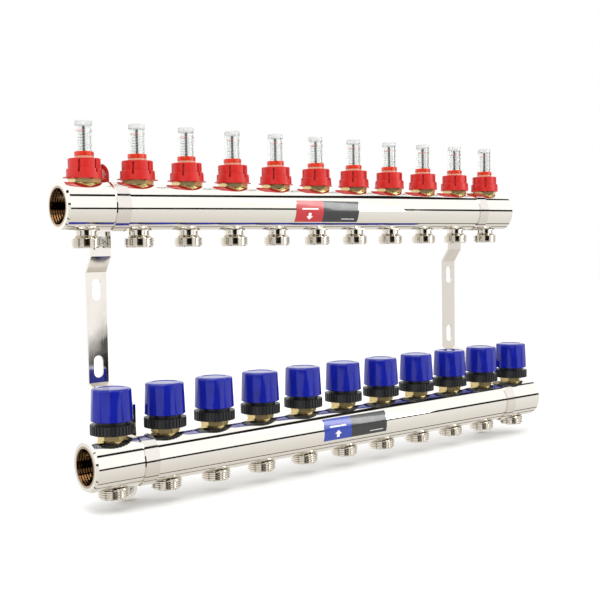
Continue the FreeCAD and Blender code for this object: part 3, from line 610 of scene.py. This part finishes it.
@dataclass
class FlowMeters:
    """The flow meters on the supply bar: brass body, lock ring, sight glass and indicator rod."""

    nodes: dict[str, bpy.types.Object]
    hex_across: float = 23.5 * MM
    hex_height: float = 3.7 * MM
    neck_radius: float = 9.5 * MM
    neck_top: float = 17 * MM
    bore_radius: float = 4.2 * MM
    port_radius: float = 10.4 * MM
    collar_radius: float = 8.25 * MM
    collar_bore: float = 6.2 * MM
    collar_foot: float = 17.2 * MM
    collar_top: float = 26.2 * MM
    band_height: float = 2.2 * MM
    tube_radius: float = 7.25 * MM
    tube_bore: float = 5.6 * MM
    tube_top: float = 52 * MM
    roof_depth: float = 4.4 * MM
    rod_radius: float = 1.1 * MM
    rod_top: float = 47.5 * MM
    seat_height: float = 23.6 * MM
    seat_radius: float = 3.8 * MM
    plate_height: float = 7 * MM
    plate_radius: float = 5.5 * MM
    zero_height: float = 43.2 * MM
    mark_spacing: float = 2.4 * MM
    mark_count: int = 6
    lock_foot: float = 3.7 * MM
    lock_step: float = 11.8 * MM
    lock_top: float = 20.3 * MM
    lock_skirt: float = 15.15 * MM
    lock_body: float = 13.5 * MM
    lock_roof: float = 2.5 * MM
    lock_hole: float = 8.35 * MM
    slit_count: int = 6
    slit_width: float = 1.5 * MM
    slit_depth: float = 11.4 * MM
    slit_foot: float = 8.6 * MM
    slit_drop: float = 1.2 * MM
    slit_turn: float = math.radians(226)
    tab_reach: float = 18 * MM
    tab_width: float = 7 * MM
    tab_thickness: float = 1 * MM

    def build(self) -> None:
        """Builds and dresses every piece of the flow meters."""
        self.build_bodies()
        self.build_lock_rings()
        dress("indicator_springs", DRAWN_WIRE, self.nodes)
        for number in range(1, CIRCUITS + 1):
            self.build_glass(number)
            self.build_indicator(number)

    def build_lock_rings(self) -> None:
        """Builds the red lock rings: a skirt, a stepped body with slits, and two lifting tabs."""
        sides = 240
        notch = 2 * math.pi / self.slit_count
        half_slit = self.slit_width / 2 / self.lock_body

        def reach(radius: float, slit: bool) -> Callable[[float], float]:
            """The radius of the ring at an angle, drawn in at each slit."""
            def at(angle: float) -> float:
                """The radius at one angle."""
                off = (angle - self.slit_turn + notch / 2) % notch - notch / 2
                return self.slit_depth if slit and abs(off) <= half_slit else radius
            return at

        foot, step, top = FLAT + self.lock_foot, FLAT + self.lock_step, FLAT + self.lock_top
        slit_foot, slit_top = FLAT + self.slit_foot, top - self.slit_drop
        edge = 0.35 * MM
        roof = top - self.lock_roof
        inner = self.slit_depth - 0.4 * MM
        outline = [
            (foot, self.lock_skirt - edge, False),
            (foot + edge, self.lock_skirt, False), (slit_foot, self.lock_skirt - 0.1 * MM, False),
            (slit_foot, self.lock_skirt - 0.1 * MM, True), (step - edge, self.lock_skirt - 0.3 * MM, True),
            (step, self.lock_skirt - 0.3 * MM - edge, True), (step, self.lock_body, True),
            (slit_top, self.lock_body, True), (slit_top, self.lock_body, False),
            (top - edge, self.lock_body, False), (top, self.lock_body - edge, False),
            (top, self.lock_hole, False), (roof, self.lock_hole, False),
            (roof, inner, False), (foot, inner, False)]
        shell = skin([ring_at(z, reach(radius, slit), sides) for z, radius, slit in outline], closed=True)
        places = [Bar.SUPPLY.circuit(number) for number in range(1, CIRCUITS + 1)]
        piece = make_piece(
            "lock_rings_moulded", [shell, self.tab_mesh(foot)], places, [RED_NYLON, RED_NYLON], "root")
        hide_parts("lock_rings")

    def tab_mesh(self, foot: float) -> bmesh.types.BMesh:
        """Makes the two lifting tabs at the foot of a lock ring.

        Args:
            foot: The height of their lower face.

        Returns:
            The mesh.
        """
        tabs = bmesh.new()
        inner = self.lock_skirt - 1 * MM
        for side in (-1, 1):
            middle = side * (inner + self.tab_reach) / 2
            tab = bmesh.ops.create_cube(tabs, size=1.0)["verts"]
            scale = Vector((self.tab_reach - inner, self.tab_width, self.tab_thickness))
            bmesh.ops.scale(tabs, vec=scale, verts=tab)
            bmesh.ops.translate(tabs, vec=(middle, 0, foot + self.tab_thickness / 2), verts=tab)
        return tabs

    def build_bodies(self) -> None:
        """Builds the brass bodies, with their hexagons chamfered and their necks hollow."""
        hexagon = chamfered_hexagon(
            self.hex_across, FLAT, FLAT + self.hex_height, (self.bore_radius + self.neck_radius) / 2)
        neck = turned([
            (self.bore_radius, 12 * MM), (self.port_radius, 15 * MM), (self.port_radius, FLAT - 0.3 * MM),
            (self.neck_radius, FLAT), (self.neck_radius, FLAT + self.neck_top - 0.6 * MM),
            (self.neck_radius - 0.6 * MM, FLAT + self.neck_top), (self.bore_radius, FLAT + self.neck_top)])
        places = [Bar.SUPPLY.circuit(number) for number in range(1, CIRCUITS + 1)]
        piece = make_piece(
            "meter_bodies", [hexagon, neck], places, [BARE_BRASS, BARE_BRASS], "root")
        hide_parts("flow_meter_bodies")

    def build_glass(self, number: int) -> None:
        """Builds one sight glass: its collar, its clear tube, the milky roof and the printed scale.

        Args:
            number: The circuit.
        """
        node = f"sight_glass_{number:02d}"
        body = f"glass_{number:02d}"
        place = [Bar.SUPPLY.circuit(number)]
        foot, top = FLAT + self.collar_foot, FLAT + self.collar_top
        band = foot + 3.2 * MM
        groove = self.collar_radius - 0.35 * MM
        collar = turned([
            (self.collar_bore, foot), (self.collar_radius, foot), (self.collar_radius, band),
            (groove, band + 0.2 * MM), (groove, band + self.band_height - 0.2 * MM),
            (self.collar_radius, band + self.band_height), (self.collar_radius, top - 0.5 * MM),
            (self.collar_radius - 0.5 * MM, top), (self.collar_bore, top)])
        ring = turned([
            (groove - 0.3 * MM, band + 0.25 * MM), (groove + 0.15 * MM, band + 0.25 * MM),
            (groove + 0.15 * MM, band + self.band_height - 0.25 * MM),
            (groove - 0.3 * MM, band + self.band_height - 0.25 * MM)])
        piece = make_piece(
            f"meter_collar_{number:02d}", [collar, ring], place, [ORANGE_COLLAR, PALE_BAND], body)
        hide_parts(node)
        piece = make_piece(
            f"meter_tube_{number:02d}", [self.tube_mesh(), self.roof_mesh()], place, [CLEAR_TUBE, MILKY_ROOF],
            body)
        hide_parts(node)
        piece = make_piece(
            f"meter_scale_{number:02d}", [self.marks_mesh(), self.zero_mesh()], place, [GREY_INK, RED_INK],
            body)
        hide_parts(node)

    def tube_mesh(self) -> bmesh.types.BMesh:
        """Makes the clear wall of the sight glass.

        Returns:
            The mesh, open at both ends of its bore.
        """
        foot, top = FLAT + self.collar_top, FLAT + self.tube_top - self.roof_depth
        return turned([
            (self.tube_bore, foot), (self.tube_radius, foot), (self.tube_radius - 0.1 * MM, top),
            (self.tube_bore, top)], sides=72)

    def roof_mesh(self) -> bmesh.types.BMesh:
        """Makes the thick top of the sight glass, rounded at its edge and hollow underneath.

        Returns:
            The mesh.
        """
        foot, top = FLAT + self.tube_top - self.roof_depth, FLAT + self.tube_top
        wall = self.tube_radius - 0.1 * MM
        rounding = 1.3 * MM
        outline = [
            (0.02 * MM, foot + 1.6 * MM), (self.tube_bore - 1 * MM, foot + 1.4 * MM),
            (self.tube_bore, foot), (wall, foot)]
        for step in range(6):
            turn = math.pi / 2 * step / 5
            outline.append((wall - rounding * (1 - math.cos(turn)), top - rounding * (1 - math.sin(turn))))
        outline.append((0.02 * MM, top - 0.1 * MM))
        return turned(outline, sides=72)

    def marks_mesh(self) -> bmesh.types.BMesh:
        """Makes the printed scale lines on the front and the back of the tube.

        Returns:
            The mesh of all the lines.
        """
        marks = bmesh.new()
        for mark in range(1, self.mark_count + 1):
            height = FLAT + self.zero_height - mark * self.mark_spacing
            half = math.radians(16 if mark % 2 else 24)
            for facing in (-math.pi / 2, math.pi / 2):
                self.add_mark(marks, height, facing - half, facing + half)
        return marks

    def zero_mesh(self) -> bmesh.types.BMesh:
        """Makes the red zero lines, one at each side of the tube.

        Returns:
            The mesh of the lines.
        """
        marks = bmesh.new()
        half = math.radians(30)
        for facing in (-math.pi / 2 - 0.9, -math.pi / 2 + 0.9, math.pi / 2):
            self.add_mark(marks, FLAT + self.zero_height, facing - half, facing + half)
        return marks

    def add_mark(self, mesh: bmesh.types.BMesh, height: float, start: float, end: float) -> None:
        """Adds one printed line round part of the tube.

        Args:
            mesh: The mesh to add to.
            height: The height of the line.
            start: The angle where it starts.
            end: The angle where it ends.
        """
        steps = 8
        inner, outer = self.tube_radius - 0.02 * MM, self.tube_radius + 0.06 * MM
        half = 0.22 * MM
        corners = []
        for step in range(steps + 1):
            angle = start + (end - start) * step / steps
            corners.append([
                mesh.verts.new((radius * math.cos(angle), radius * math.sin(angle), height + side * half))
                for radius, side in ((inner, -1), (outer, -1), (outer, 1), (inner, 1))])
        for near, far in zip(corners, corners[1:]):
            for side in range(4):
                after = (side + 1) % 4
                mesh.faces.new((near[side], near[after], far[after], far[side]))
        mesh.faces.new(reversed(corners[0]))
        mesh.faces.new(corners[-1])
        bmesh.ops.recalc_face_normals(mesh, faces=mesh.faces)

    def build_indicator(self, number: int) -> None:
        """Builds one indicator: its rod with moulded rings, the spring seat and the flow plate.

        Args:
            number: The circuit.
        """
        top, seat = FLAT + self.rod_top, FLAT + self.seat_height
        rod = turned([
            (0.05 * MM, self.plate_height), (5.4 * MM, self.plate_height),
            (self.plate_radius, 8.5 * MM), (self.rod_radius, 8.6 * MM),
            (self.rod_radius, seat), (self.seat_radius, seat),
            (self.seat_radius, seat + 1 * MM), (self.rod_radius, seat + 1.1 * MM),
            (self.rod_radius, top - 0.5 * MM), (self.rod_radius - 0.4 * MM, top), (0.05 * MM, top)], sides=32)
        rings = bmesh.new()
        inner, outer, half = self.rod_radius - 0.1 * MM, self.rod_radius + 0.08 * MM, 0.3 * MM
        for mark in range(7):
            height = top - (3.4 + 2.4 * mark) * MM
            ring = turned([
                (inner, height - half), (outer, height - half), (outer, height + half),
                (inner, height + half)], sides=32)
            plain = bpy.data.meshes.new("indicator_ring")
            ring.to_mesh(plain)
            ring.free()
            rings.from_mesh(plain)
            bpy.data.meshes.remove(plain)
        piece = make_piece(
            f"indicator_rod_{number:02d}", [rod, rings], [Bar.SUPPLY.circuit(number)], [BLACK_ROD, GREY_INK],
            f"indicator_{number:02d}")
        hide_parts(f"flow_indicator_{number:02d}")


@dataclass
class ReturnValves:
    """The hand valves on the return bar: brass insert, black nut, blue cap, spindle and spring."""

    nodes: dict[str, bpy.types.Object]
    hex_across: float = 21 * MM
    hex_height: float = 4.9 * MM
    neck_radius: float = 9 * MM
    neck_top: float = 9.7 * MM
    port_radius: float = 10.4 * MM
    stem_radius: float = 6 * MM
    stem_top: float = 14 * MM
    cap_foot_radius: float = 17.35 * MM
    cap_crown_radius: float = 16.45 * MM
    cap_bottom: float = 15.8 * MM
    cap_top: float = 42.4 * MM
    cap_bore: float = 14.5 * MM
    cap_roof: float = 3.4 * MM
    facets: int = 12

    def build(self) -> None:
        """Builds and dresses every piece of the return valves."""
        self.build_inserts()
        dress("cap_collar_nuts", BLACK_NYLON, self.nodes)
        dress("valve_springs", DRAWN_WIRE, self.nodes)
        for number in range(1, CIRCUITS + 1):
            dress(f"valve_spindle_{number:02d}", GROUND_STEEL, self.nodes)
            self.build_cap(number)

    def build_inserts(self) -> None:
        """Builds the brass inserts, with their hexagons chamfered."""
        hexagon = chamfered_hexagon(self.hex_across, FLAT, FLAT + self.hex_height, self.stem_radius)
        neck = turned([
            (self.stem_radius - 1 * MM, 12 * MM), (self.port_radius, 15 * MM),
            (self.port_radius, FLAT - 0.3 * MM), (self.neck_radius, FLAT),
            (self.neck_radius, FLAT + self.neck_top), (self.stem_radius, FLAT + self.neck_top),
            (self.stem_radius, FLAT + self.stem_top), (2.6 * MM, FLAT + self.stem_top)])
        places = [Bar.RETURN.circuit(number) for number in range(1, CIRCUITS + 1)]
        piece = make_piece(
            "valve_bodies", [hexagon, neck], places, [BARE_BRASS, BARE_BRASS], "root")
        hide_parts("valve_inserts")

    def cap_reach(self, crown: float, inset: float) -> Callable[[float], float]:
        """Makes the outline of the cap at one height, between a circle and a rounded polygon.

        Args:
            crown: 0 at the round foot, 1 at the many-sided crown.
            inset: How far the outline is drawn in.

        Returns:
            A function from an angle to the radius.
        """
        step = 2 * math.pi / self.facets
        radius = self.cap_foot_radius + (self.cap_crown_radius - self.cap_foot_radius) * crown

        def reach(angle: float) -> float:
            """The radius at an angle."""
            off = (angle + step / 2) % step - step / 2
            flat = radius * math.cos(step / 2) / math.cos(step / 2 - abs(off))
            corner = radius - 0.12 * MM
            return min(radius + (flat - radius) * crown, corner if crown else radius) - inset

        return reach

    def build_cap(self, number: int) -> None:
        """Builds one hand cap, hollow below, with a rounded crown and a shallow dish in its top.

        Args:
            number: The circuit.
        """
        sides = 12 * self.facets
        bottom, top = FLAT + self.cap_bottom, FLAT + self.cap_top
        rings = [
            ring_at(bottom, lambda angle: self.cap_bore, sides),
            ring_at(bottom, self.cap_reach(0, 0.5 * MM), sides),
            ring_at(bottom + 0.35 * MM, self.cap_reach(0, 0.05 * MM), sides),
            ring_at(bottom + 0.9 * MM, self.cap_reach(0, 0), sides),
            ring_at(bottom + 2.2 * MM, self.cap_reach(0.05, 0), sides),
        ]
        shoulder = top - 2.1 * MM
        for share in (0.25, 0.5, 0.75, 1.0):
            height = bottom + 2.2 * MM + (shoulder - bottom - 2.2 * MM) * share
            rings.append(ring_at(height, self.cap_reach(share, 0), sides))
        for step in range(1, 6):
            turn = math.pi / 2 * step / 5
            height = shoulder + 1.9 * MM * math.sin(turn)
            inset = 1.7 * MM * (1 - math.cos(turn))
            rings.append(ring_at(height, self.cap_reach(1, inset), sides))
        rings += [
            ring_at(top - 0.05 * MM, lambda angle: 13.2 * MM, sides),
            ring_at(top, lambda angle: 11 * MM, sides),
            ring_at(top - 0.35 * MM, lambda angle: 10.6 * MM, sides),
            ring_at(top - 0.3 * MM, lambda angle: 0.05 * MM, sides),
            ring_at(top - self.cap_roof, lambda angle: 0.05 * MM, sides),
            ring_at(top - self.cap_roof, lambda angle: self.cap_bore, sides),
        ]
        piece = make_piece(
            f"hand_cap_{number:02d}", [skin(rings, closed=True)], [Bar.RETURN.circuit(number)], [BLUE_ABS],
            f"cap_{number:02d}")
        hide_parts(f"blue_cap_{number:02d}")


@dataclass
class Supports:
    """The wall brackets, the clamps that hold the bars, and their fasteners."""

    nodes: dict[str, bpy.types.Object]

    def build(self) -> None:
        """Dresses the brackets, clamps, screws and nuts."""
        dress("wall_brackets", PLATED_STRIP, self.nodes, edge_mm=0.35)
        dress("bar_clamps", PLATED_STRIP, self.nodes, edge_mm=0.2)
        dress("clamp_screws", ZINC, self.nodes, edge_mm=0.25)
        dress("clamp_nuts", ZINC, self.nodes, edge_mm=0.2)


@dataclass
class Label:
    """A printed film on the front of a bar: a coloured field with an arrow, and a dark field."""

    bar: Bar
    name: str
    film: Finish
    arrow: Side
    low_degrees: float
    high_degrees: float
    left: float = -42.1 * MM
    split: float = -8.5 * MM
    right: float = 37.3 * MM
    thickness: float = 0.2 * MM
    arrow_width: float = 8 * MM
    arrow_height: float = 6.6 * MM
    shaft_share: float = 0.42

    def build(self) -> None:
        """Builds the film and the arrow and bars printed on it."""
        y, z = self.bar.value
        place = [Vector((0, y, z))]
        low, high = math.radians(self.low_degrees), math.radians(self.high_degrees)
        radius = BAR_RADIUS + self.thickness
        film = make_piece(
            f"{self.name}_film", [
                bent_panel(radius, self.left, self.split, low, high),
                bent_panel(radius, self.split, self.right, low, high)],
            place, [self.film, DARK_FILM], "root")
        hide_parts(self.name)
        make_piece(
            f"{self.name}_print", [self.print_mesh(low, high)], place, [WHITE_INK], "root")

    def print_mesh(self, low: float, high: float) -> bmesh.types.BMesh:
        """Makes the white arrow and the two plain bars, bent round the bar.

        Args:
            low: The angle of the label's lower edge.
            high: The angle of its upper edge.

        Returns:
            The mesh.
        """
        middle = (self.left + self.split) / 2
        radius = BAR_RADIUS + self.thickness
        height = radius * (high - low)
        centre = 0.28 * height
        half, shaft = self.arrow_width / 2, self.arrow_width / 2 * self.shaft_share
        reach = self.arrow_height / 2
        point = reach * self.arrow.value
        plain = bmesh.new()
        tip = (middle, middle, centre + point)
        wings = (middle - half, middle + half, centre)
        shaft_ends = [(middle - shaft, middle + shaft, up) for up in (centre, centre - point)]
        self.add_print(plain, wings, tip, low)
        self.add_print(plain, *shaft_ends, low)
        for left, right, level, thick in (
            (middle - 10 * MM, middle + 10 * MM, 0.62, 0.7 * MM),
            (self.right - 22 * MM, self.right - 5 * MM, 0.16, 0.3 * MM),
        ):
            ends = [(left, right, level * height + side * thick) for side in (-1, 1)]
            self.add_print(plain, *ends, low)
        bmesh.ops.recalc_face_normals(plain, faces=plain.faces)
        return plain

    def add_print(self, mesh: bmesh.types.BMesh, start: Span, end: Span, low: float) -> None:
        """Adds one printed shape, in slices that follow the bar's round.

        Args:
            mesh: The mesh to add to.
            start: The left end, the right end and the height up the film of its first edge.
            end: Those of its last edge.
            low: The angle of the label's lower edge.
        """
        slices = 6
        sunk, proud = -0.02 * MM, 0.05 * MM
        rows = []
        for step in range(slices + 1):
            left, right, up = (a + (b - a) * step / slices for a, b in zip(start, end))
            angle = low + up / (BAR_RADIUS + self.thickness)
            row = []
            for across, depth in ((left, sunk), (right, sunk), (right, proud), (left, proud)):
                reach = BAR_RADIUS + self.thickness + depth
                row.append(mesh.verts.new((across, -reach * math.cos(angle), reach * math.sin(angle))))
            rows.append(row)
        for near, far in zip(rows, rows[1:]):
            for side in range(4):
                after = (side + 1) % 4
                mesh.faces.new((near[side], near[after], far[after], far[side]))
        mesh.faces.new(reversed(rows[0]))
        mesh.faces.new(rows[-1])


# ------------------------------------------------------------------ studio
@dataclass
class Studio:
    """A white studio with a few long black flags, a pale floor, soft lights and the camera."""

    floor_height: float = -144.2 * MM
    floor_size: float = 8.0
    camera_place: tuple[float, float, float] = (-0.6320, -0.7988, 0.0699)
    camera_yaw: float = 38.59
    camera_pitch: float = -3.12
    camera_roll: float = -0.86
    lens_mm: float = 59.84
    sensor_mm: float = 36.0
    flag_edge: float = 0.012
    over_slant: tuple[float, float, float] = (-0.655, -0.307, 0.690)
    over_half: float = 0.060
    widening_from: float = 0.66
    widening_share: float = 0.5
    level_slant: float = 0.62
    level_half: float = 0.065
    under_slant: float = 0.23
    under_half: float = 0.035
    under_edge: float = 0.01
    stand_across: tuple[float, float] = (-0.62, 0.06)
    stand_rise: tuple[float, float] = (-0.45, 0.32)
    stand_edge: float = 0.05

    def build(self) -> None:
        """Builds the surroundings, the floor, the lights and the camera."""
        bpy.context.scene.view_settings.view_transform = "Standard"
        self.build_surroundings()
        self.build_floor()
        self.build_lights()
        self.build_camera()

    def build_surroundings(self) -> None:
        """Builds the white walls and the black flags that the plated metal mirrors.

        The direction of a ray gives its place: across is along the bars, and rise is up against away
        from them. Two long flags cross in front of the bars, and the upper one grows wider towards its
        ends. A tall one hangs round the camera's stand, and gives every upright cylinder its dark
        stripe. A narrow one lies low on both sides. The camera itself sees plain white.
        """
        world = bpy.data.worlds.new("studio")
        bpy.context.scene.world = world
        world.use_nodes = True
        tree = world.node_tree
        tree.nodes.clear()

        def math_node(operation: str, *operands: Any) -> bpy.types.NodeSocket:
            """One sum on sockets or numbers."""
            node = add_node(tree, "ShaderNodeMath", {"operation": operation}, dict(enumerate(operands)))
            return node.outputs[0]

        def inside(position: bpy.types.NodeSocket, low: Any, high: Any, edge: float) -> bpy.types.NodeSocket:
            """1 between two limits and 0 outside, with a soft edge."""
            above = math_node("DIVIDE", math_node("SUBTRACT", position, low), edge)
            below = math_node("DIVIDE", math_node("SUBTRACT", high, position), edge)
            share = math_node("MINIMUM", above, below)
            return math_node("MINIMUM", math_node("MAXIMUM", share, 0.0), 1.0)

        direction = add_node(tree, "ShaderNodeTexCoord").outputs["Generated"]
        parts = add_node(tree, "ShaderNodeSeparateXYZ", inputs={0: direction})
        across = math_node("ABSOLUTE", parts.outputs[0])
        away = math_node("ABSOLUTE", parts.outputs[1])
        rise = parts.outputs[2]
        widening = math_node("MAXIMUM", math_node("SUBTRACT", across, self.widening_from), 0.0)

        by_across, by_away, by_rise = (
            math_node("MULTIPLY", part, slant) for part, slant in zip((across, away, rise), self.over_slant))
        over = math_node("ADD", math_node("ADD", by_across, by_away), by_rise)
        widened = math_node("MULTIPLY", widening, self.widening_share)
        over_low = math_node("SUBTRACT", -self.over_half, widened)
        over_flag = inside(over, over_low, self.over_half, self.flag_edge)

        slope = math_node("SUBTRACT", self.level_slant, across)
        level = math_node("ADD", rise, math_node("MULTIPLY", away, slope))
        level_flag = inside(level, -self.level_half, self.level_half, self.flag_edge)

        under = math_node("ADD", away, math_node("MULTIPLY", rise, self.under_slant))
        below = math_node("LESS_THAN", rise, 0.0)
        under_flag = math_node(
            "MULTIPLY", inside(under, -self.under_half, self.under_half, self.under_edge), below)

        stand_sides = inside(parts.outputs[0], *self.stand_across, self.stand_edge)
        stand_flag = math_node("MULTIPLY", stand_sides, inside(rise, *self.stand_rise, self.stand_edge))

        front = math_node("LESS_THAN", parts.outputs[1], 0.0)
        flags = math_node("MAXIMUM", math_node("MAXIMUM", over_flag, level_flag), stand_flag)
        dark = math_node("MAXIMUM", math_node("MULTIPLY", flags, front), under_flag)
        floor_share = add_node(tree, "ShaderNodeMapRange", inputs={
            "Value": rise, "From Min": -0.12, "From Max": -0.85, "To Min": 0.0, "To Max": 1.0})
        low_share = math_node("LESS_THAN", level, 0.0)
        floor_tone = add_node(tree, "ShaderNodeMix", {"data_type": "RGBA"}, {
            0: floor_share.outputs["Result"], 6: linear("#faf8f5"), 7: linear("#e6e1da")})
        tone = add_node(tree, "ShaderNodeMix", {"data_type": "RGBA"}, {
            0: low_share, 6: (1.2, 1.2, 1.2, 1.0), 7: floor_tone.outputs[2]})
        flagged = add_node(tree, "ShaderNodeMix", {"data_type": "RGBA"}, {
            0: dark, 6: tone.outputs[2], 7: linear("#1c1916")})
        seen = add_node(tree, "ShaderNodeLightPath").outputs["Is Camera Ray"]
        shown = add_node(tree, "ShaderNodeMix", {"data_type": "RGBA"}, {
            0: seen, 6: flagged.outputs[2], 7: (1.0, 1.0, 1.0, 1.0)})
        back = add_node(tree, "ShaderNodeBackground", inputs={"Color": shown.outputs[2], "Strength": 1.0})
        add_node(tree, "ShaderNodeOutputWorld", inputs={"Surface": back.outputs[0]})

    def build_floor(self) -> None:
        """Builds the pale floor under the manifold, which the polished metal doesn't mirror."""
        grid = bmesh.new()
        bmesh.ops.create_grid(grid, x_segments=4, y_segments=4, size=self.floor_size / 2)
        mesh = bpy.data.meshes.new("floor")
        grid.to_mesh(mesh)
        grid.free()
        floor = bpy.data.objects.new("floor", mesh)
        floor.location = (0, 0, self.floor_height)
        floor.visible_glossy = False
        bpy.context.scene.collection.objects.link(floor)
        mesh.materials.append(FLOOR_PAINT.material())

    def build_lights(self) -> None:
        """Hangs two soft boxes: a large key above the left and a narrow strip at the right."""
        for name, place, width, height, watts in (
            ("key_box", (-0.7, -0.6, 1.3), 0.9, 0.9, 9.0),
            ("strip_box", (1.0, -1.1, 0.5), 0.18, 1.0, 5.0),
        ):
            lamp = bpy.data.lights.new(name, "AREA")
            lamp.shape = "RECTANGLE"
            lamp.size = width
            lamp.size_y = height
            lamp.energy = watts
            holder = bpy.data.objects.new(name, lamp)
            holder.location = place
            aim = Vector((0, -0.05, 0)) - Vector(place)
            holder.rotation_euler = aim.to_track_quat("-Z", "Y").to_euler()
            bpy.context.scene.collection.objects.link(holder)

    def build_camera(self) -> None:
        """Places the camera from its yaw, pitch and roll."""
        yaw, pitch, roll = (math.radians(a) for a in (self.camera_yaw, self.camera_pitch, self.camera_roll))
        ahead = Vector((math.sin(yaw) * math.cos(pitch), math.cos(yaw) * math.cos(pitch), math.sin(pitch)))
        right = Vector((math.cos(yaw), -math.sin(yaw), 0))
        up = right.cross(ahead)
        rolled_right = math.cos(roll) * right + math.sin(roll) * up
        rolled_up = -math.sin(roll) * right + math.cos(roll) * up
        turn = Matrix((rolled_right, rolled_up, -ahead)).transposed()
        lens = bpy.data.cameras.new("camera")
        lens.lens = self.lens_mm
        lens.sensor_width = self.sensor_mm
        lens.clip_start = 0.01
        camera = bpy.data.objects.new("camera", lens)
        camera.matrix_world = Matrix.Translation(self.camera_place) @ turn.to_4x4()
        bpy.context.scene.collection.objects.link(camera)
        bpy.context.scene.camera = camera


def main() -> None:
    """Builds the whole scene, one sub-assembly after another."""
    logging.basicConfig(level=logging.INFO, format="%(name)s: %(message)s")
    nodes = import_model()["nodes"]
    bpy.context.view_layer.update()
    for assembly in (
        BarSet(nodes),
        FlowMeters(nodes),
        ReturnValves(nodes),
        Supports(nodes),
        Label(Bar.SUPPLY, "supply_label", RED_FILM, Side.DOWN, -35, 21),
        Label(Bar.RETURN, "return_label", BLUE_FILM, Side.UP, -21, 35),
        Studio(),
    ):
        assembly.build()
        log.info("%s is done", type(assembly).__name__)


if __name__ == "__main__":
    main()
